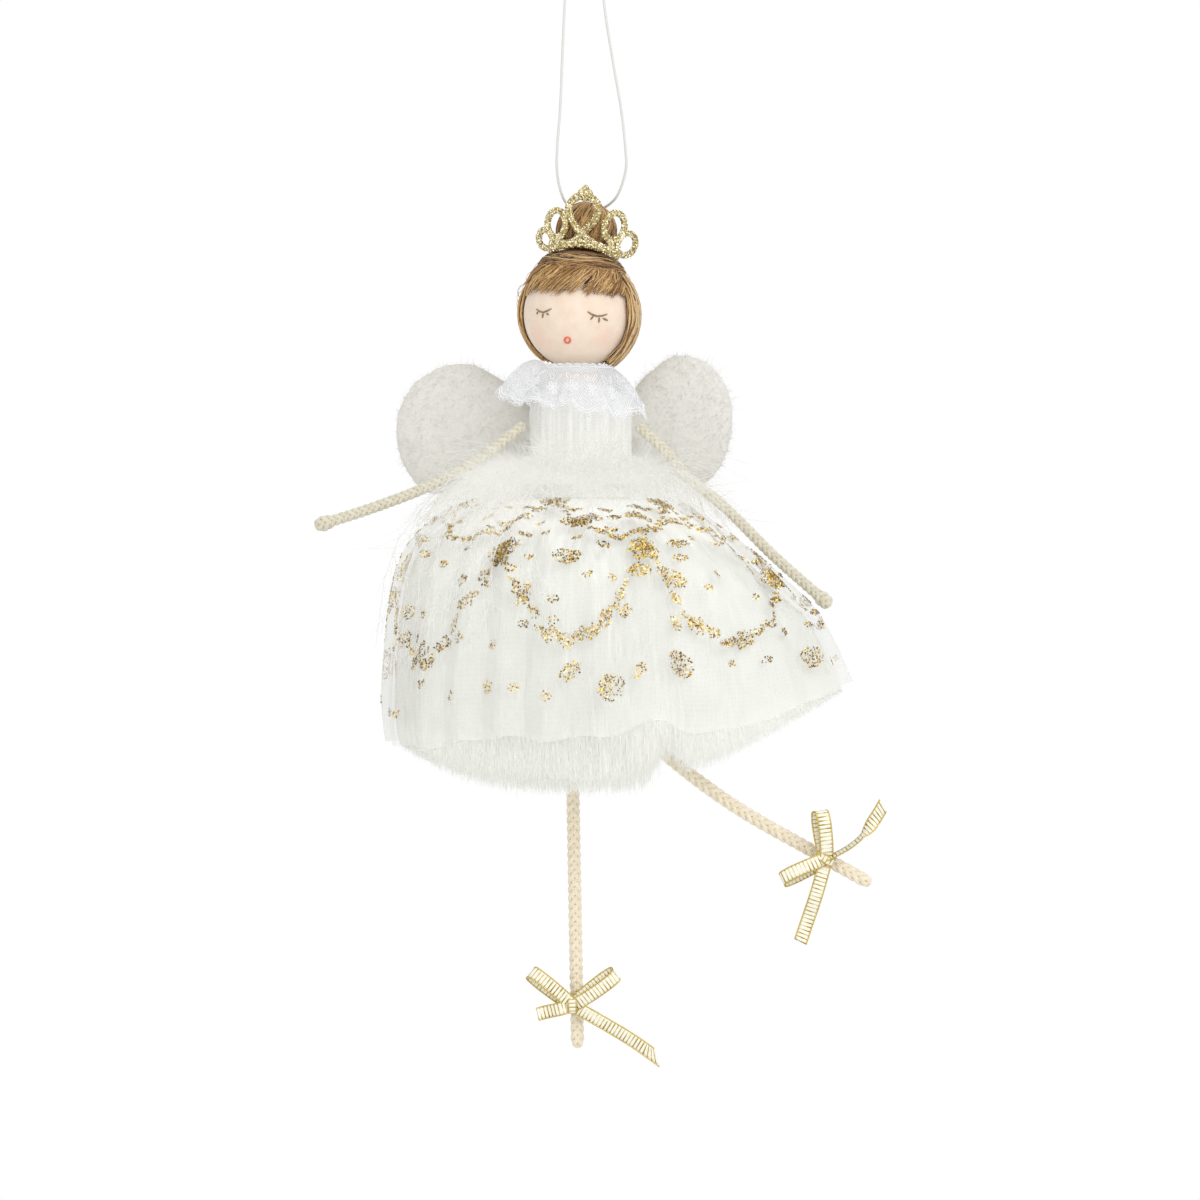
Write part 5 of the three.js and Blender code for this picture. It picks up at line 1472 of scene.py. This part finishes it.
# Printed glitter: the same foil as the crown's, in a deeper gold
print_stops = [(0.05, "#54400f"), (0.32, "#8e6d20"), (0.62, "#d6ad45"), (0.95, "#ffe894")]
print_foil = fibre_material("printed_gold_glitter", print_stops, 0.6 * mm,
                            {"Metallic": 0.6, "Roughness": 0.3})
skirt_print = glitter("skirt_glitter", fleck_place * mm, fleck_normal, fleck_radius, tilt=0.3,
                      material=print_foil, rng=print_rng, tone=spot_painted_light[fleck_spot])
finish_piece(skirt_print)

# Waist trim
# A strip of white marabou down, wound round the waist over the top of the tulle. Fine plumes stand out from
# it all round, longest at the left front, and their barbs float over the skirt, the arms and the bodice.
down_rng = np.random.default_rng(71)
trim_hoop = np.array([bodice_half_width, bodice_half_depth]) + 3.6
trim_z = -147.6
barb_profile = np.array([0.045, 0.045, 0.04, 0.03, 0.015]) * mm
quill_radius = 0.1 * mm
quill_stations = 9
wisp_radius = 0.05 * mm
wisp_count, wisp_stations = 70, 12
hoop_count = 3200
# Marabou down: very fine, bright white and matt; light passes through it, so many barbs look like haze
down = fibre_material("marabou_down", [(0.0, "#f2f2ec"), (0.5, "#fafaf5"), (1.0, "#fffffc")], 0.8 * mm,
                      {"Roughness": 0.95, "Sheen Weight": 0.5, "Specular IOR Level": 0.1, "Alpha": 0.55})


def forward(angle):
    """1 at the front of the skirt and 0 elsewhere."""
    return np.maximum(0, -np.sin(angle)) ** 3


def towards(angle, degrees, sharpness):
    """1 at one angle round the doll and 0 away from it."""
    return np.maximum(0, np.cos(angle - np.radians(degrees))) ** sharpness


def barbs(name, roots, ahead, length):
    """Fine curling barbs from root points, leaning the way ahead says."""
    count = len(roots)
    way = unit(down_rng.normal(0, 1, (count, 3))) + ahead
    along = np.linspace(0, 1, len(barb_profile))[None, :, None]
    curl = down_rng.normal(0, 0.5, (count, 1, 3)) * along**2
    size = length * down_rng.uniform(0.5, 1.2, (count, 1, 1))
    lines = roots[:, None] + size * (way[:, None] * along + curl - np.array([0, 0, 0.1]) * along**2)
    tone = down_rng.uniform(0.2, 0.9, count)
    return strands(name, lines * mm, np.tile(barb_profile, (count, 1)), down, tone)


def plumes(name, low, high, plume_count, barb_count, crowding):
    """Plumes over a range of angles: each a thin quill that arches out over the skirt, with barbs all along
    it. Crowding above 1 gathers them towards the low end of the range."""
    angle = np.radians(low + (high - low) * down_rng.uniform(0, 1, (plume_count, 1)) ** crowding)
    left_front = towards(angle, 228, 3)
    side = np.abs(np.cos(angle))
    front = forward(angle)
    uneven = 0.6 + 0.5 * np.sin(9 * angle) + 0.4 * np.sin(23 * angle)
    run = 0.05 + 0.19 * side + 0.22 * left_front + 0.12 * front * uneven
    run = run * down_rng.choice([0.5, 0.8, 1.1, 1.7], (plume_count, 1))
    rise = down_rng.uniform(0, 1, (plume_count, 1)) ** 1.5 * (0.6 + 0.9 * side)
    climbs = (down_rng.uniform(0, 1, (plume_count, 1)) < 0.16) & (side < 0.7)
    run = np.where(climbs, 0.06, run)
    along = np.linspace(0, 1, quill_stations)[None, :]
    way = angle + down_rng.normal(0, 0.25, (plume_count, 1)) * along
    lift = 1.5 + (2.6 - 1.2 * front) * np.sin(np.pi * 0.8 * along) + 4.0 * rise * along * (1 - 0.3 * along)
    lines = skirt_point(way, 0.01 + run * along, -lift)
    lines[..., 1] += 3.0 * smooth_share(side, 0.8, 0.95)
    lines[..., 2] += (2.0 + 1.2 * front) * (1 - along) + 6.0 * climbs * along
    plume = np.repeat(np.arange(plume_count), barb_count)
    at = down_rng.uniform(0.02, 0.98, len(plume)) * (quill_stations - 1)
    step = np.floor(at).astype(int)
    part = (at - step)[:, None]
    roots = lines[plume, step] * (1 - part) + lines[plume, step + 1] * part
    ahead = unit(lines[plume, step + 1] - lines[plume, step])
    haze = barbs(f"{name}_barbs", roots, 0.8 * ahead, 4.6)
    quills = strands(f"{name}_quills", lines * mm, tapered(quill_radius, plume_count, quill_stations), down)
    return joined(name, [haze, quills])


wisp_angle = np.where(np.arange(wisp_count) % 3 > 0, np.pi, 0) + down_rng.normal(0, 0.5, wisp_count)
wisp_way = np.stack([np.cos(wisp_angle), np.sin(wisp_angle)], axis=1)[:, None]
wisp_along = np.linspace(0, 1, wisp_stations)[None, :, None]
wisp_out = trim_hoop + down_rng.uniform(6, 24, (wisp_count, 1, 1)) * wisp_along
wisp_arch = np.sin(np.pi * wisp_along)
wisp_bend = down_rng.uniform(-6, 6, (wisp_count, 1, 1)) * wisp_arch
wisp_flat = np.array([body_x, 0]) + wisp_way * wisp_out + wisp_way[..., ::-1] * wisp_bend
wisp_climb = down_rng.uniform(-4, 11, (wisp_count, 1, 1)) * wisp_along + 3 * wisp_arch - 3 * wisp_along**2
wisp_lines = np.concatenate([wisp_flat, trim_z + wisp_climb], axis=2)
wisps = strands("marabou_wisps", wisp_lines * mm, tapered(wisp_radius, wisp_count, wisp_stations), down, 0.6)
hoop_angle = down_rng.uniform(0, 2 * np.pi, hoop_count)
hoop_front = forward(hoop_angle)
hoop_wander = np.sin(5 * hoop_angle + 1) + 0.8 * np.sin(12 * hoop_angle)
hoop_z = trim_z + (1.8 + 1.1 * hoop_wander) * hoop_front + down_rng.normal(0, 1.3, hoop_count)
hoop_roots = np.stack([body_x + trim_hoop[0] * np.cos(hoop_angle), trim_hoop[1] * np.sin(hoop_angle), hoop_z],
                      axis=1)
hoop_out = np.stack([np.cos(hoop_angle), np.sin(hoop_angle), 0.1 + 0.4 * hoop_front], axis=1)
trim_core = joined("marabou_core", [barbs("marabou_hoop", hoop_roots, 0.35 * hoop_out, 4.2), wisps])
trim_front = plumes("marabou_front", low=204, high=340, plume_count=160, barb_count=44, crowding=1.7)
trim_back = plumes("marabou_back", low=200, high=-16, plume_count=120, barb_count=36, crowding=1.0)
for piece, nodes in ((trim_core, ["waist_fur"]), (trim_front, []), (trim_back, [])):
    piece.visible_shadow = False
    piece.visible_diffuse = False
    finish_piece(piece, nodes)

# Lace collar
# A strip of white machine lace, gathered tight under the chin and falling in a ruffle over the shoulders. Its
# ground is a fine diamond net with flowers and leaves in thicker thread, and its edge is scalloped.
collar_gather = 7.7
collar_top = -122.55
lace_width, lace_height = 85, 11.5
lace_columns, lace_rows = 260, 26
lace_cell = 0.7
net_count = 96
flower_count = 15
petal_count = 6
scallops = 30
frill_profile = np.array([0.07, 0.07, 0.09, 0.17]) * mm


def collar_point(angle, share, lift=0.0):
    """A point of the collar by angle round the neck and share from gather to edge, or just above it."""
    angle, share = np.broadcast_arrays(np.asarray(angle, float), np.clip(share, 0, None))
    left_point = towards(angle, 194, 14)
    right_dip = towards(angle, 308, 6)
    right_point = towards(angle, 347, 14)
    front = np.maximum(0, -np.sin(angle))
    behind = np.maximum(0, np.sin(angle))
    reach = 13.6 + 5 * left_point - 2.8 * behind + 1.6 * right_dip + 2.6 * right_point - 1.2 * front
    drop = 8 + 1.1 * front + 2.4 * right_dip + 2 * right_point - 1.6 * left_point
    ruffle = share * (0.8 * np.sin(10 * angle) + 0.3 * np.sin(23 * angle + 1))
    radius = collar_gather + (reach - collar_gather) * share**0.8 + 0.5 * ruffle + lift
    flap = 2.4 * left_point * np.sin(np.pi * np.sqrt(np.clip(share, 0, 1)))
    return np.stack([head_place[0] + radius * np.cos(angle), radius * np.sin(angle),
                     collar_top - 0.2 * front - drop * share**1.25 + ruffle + flap + lift], axis=-1)


# Lace ground: sheer, cool white net that shows the cloth under it
lace_net, lace_tree, lace_shader = new_material(
    "machine_lace_ground", {"Roughness": 0.8, "Alpha": 0.5, "Sheen Weight": 0.2, "Specular IOR Level": 0.2})
lace_cells = net_cells(lace_tree, "lace", lace_cell, 0.2)
set_inputs(lace_tree, lace_shader, {
    "Base Color": ramp(lace_tree, lace_cells, [(0.05, "#f3f4f6"), (0.4, "#eaecf0")]),
    "Normal": relief(lace_tree, lace_cells, 1.0, 0.15 * mm, sunk=True)})
lace_angle = np.linspace(0, 2 * np.pi, lace_columns, endpoint=False)[None, :]
lace_points = collar_point(lace_angle, np.linspace(0, 0.97, lace_rows)[:, None])
lace_flat = flat_layout(lace_width, lace_height, lace_columns + 1, lace_rows)
lace_ground = cloth_grid("lace_ground", lace_points * mm, "lace", lace_flat, lace_net, wrapped=True)
lace_ground.visible_shadow = False
finish_piece(lace_ground, ["lace_collar"])

# Lace thread: smooth white cotton, thicker in the flowers and the edge
lace_stops = [(0.1, "#e6e8ec"), (0.6, "#f0f1f4"), (1.0, "#f7f8fa")]
lace_cotton = fibre_material("lace_cotton_thread", lace_stops, 0.4 * mm,
                             {"Roughness": 0.7, "Specular IOR Level": 0.3})


def lace_threads(name, lines, radius, tone, sides=3):
    """Lines of lace thread, given in millimetres."""
    return strands(f"lace_{name}", np.stack(lines) * mm, radius * mm, lace_cotton, tone, sides)


def motif_line(middle, right, up, spread_out):
    """A line of a flower or leaf, given right of and above its middle, laid on the collar."""
    return collar_point(middle + right / spread_out, 0.6 - up / 12.5, 0.09)


net_share = np.linspace(0.02, 0.96, 20)[None, :]
net_start = np.linspace(0, 2 * np.pi, net_count, endpoint=False)[:, None]
net_lines = [collar_point(net_start + way * 0.85 * net_share, net_share, 0.02) for way in (-1, 1)]
lace_work = [lace_threads("mesh", np.concatenate(net_lines), 0.055, 0.4)]
motif_turn = np.linspace(0, 2 * np.pi, 20)
motif_along = 0.5 - 0.5 * np.cos(motif_turn)
motif_aside = np.sin(motif_turn)
motif_lines = []
for flower in range(flower_count):
    middle = 2 * np.pi * flower / flower_count
    for petal in range(petal_count):
        way = 2 * np.pi * petal / petal_count + 0.3 * (flower % 3)
        for ring in (0.55, 1.0):
            out = 1.9 * motif_along * (0.7 + 0.3 * ring)
            aside = 0.62 * ring * motif_aside * np.sqrt(motif_along)
            right = out * np.cos(way) - aside * np.sin(way)
            up = out * np.sin(way) + aside * np.cos(way)
            motif_lines.append(motif_line(middle, right, up, 14))
    for leaf in (-1, 1):
        right = leaf * (1.2 + 1.7 * motif_along) + 0.3 * motif_aside
        motif_lines.append(motif_line(middle, right, -2.0 - 1.0 * motif_along + 0.55 * motif_aside, 15))
        right = leaf * (0.4 + 0.9 * motif_along) + 0.4 * motif_aside
        motif_lines.append(motif_line(middle, right, 2.3 + 1.9 * motif_along + 0.3 * motif_aside, 10))
lace_work.append(lace_threads("flowers", motif_lines, 0.11, 0.7, sides=4))
edge_turn = np.linspace(0, 2 * np.pi, 601)
edge_wave = np.abs(np.sin(0.5 * scallops * edge_turn))
edge_lines = [collar_point(edge_turn, inner + 0.07 * edge_wave, 0.05) for inner in (0.93, 0.88)]
lace_work.append(lace_threads("edge", edge_lines, 0.15, 0.8, sides=5))
picot_middle = np.linspace(0, 2 * np.pi, 4 * scallops, endpoint=False)[:, None]
picot_share = 0.965 + 0.07 * np.abs(np.sin(0.5 * scallops * picot_middle)) - 0.03 * np.cos(motif_turn)
picot_lines = collar_point(picot_middle + 0.026 * motif_aside, picot_share, 0.05)
lace_work.append(lace_threads("picots", picot_lines, 0.11, 0.8))
gather_line = collar_point(edge_turn, 0.02 + 0.03 * np.sin(70 * edge_turn), 0.1)
lace_work.append(lace_threads("gather", [gather_line], 0.16, 0.6, sides=5))
frill_angle = np.linspace(np.radians(186), np.radians(354), 240)
frill_wave = np.abs(np.sin(13 * frill_angle))
frill_lines = []
for step in (0.25, 0.5, 0.75, 1.0):
    height = step * (0.15 + 0.35 * frill_wave * step) * np.clip(4 * np.sin(frill_angle + np.pi), 0, 1)
    radius = collar_gather + 0.25 + 0.9 * height + 0.25 * np.sin(26 * frill_angle) * step
    frill_lines.append(np.stack([head_place[0] + radius * np.cos(frill_angle), radius * np.sin(frill_angle),
                                 collar_top + height], axis=1))
frill_lines = np.stack(frill_lines)
lace_work.append(strands("lace_frill", frill_lines * mm, frill_profile, lace_cotton, 0.7))
lace_work.append(lace_threads("frill_mesh", frill_lines[:, ::2].transpose(1, 0, 2), 0.07, 0.6))
lace_work = joined("lace_threadwork", lace_work)
lace_work.visible_shadow = False
finish_piece(lace_work)
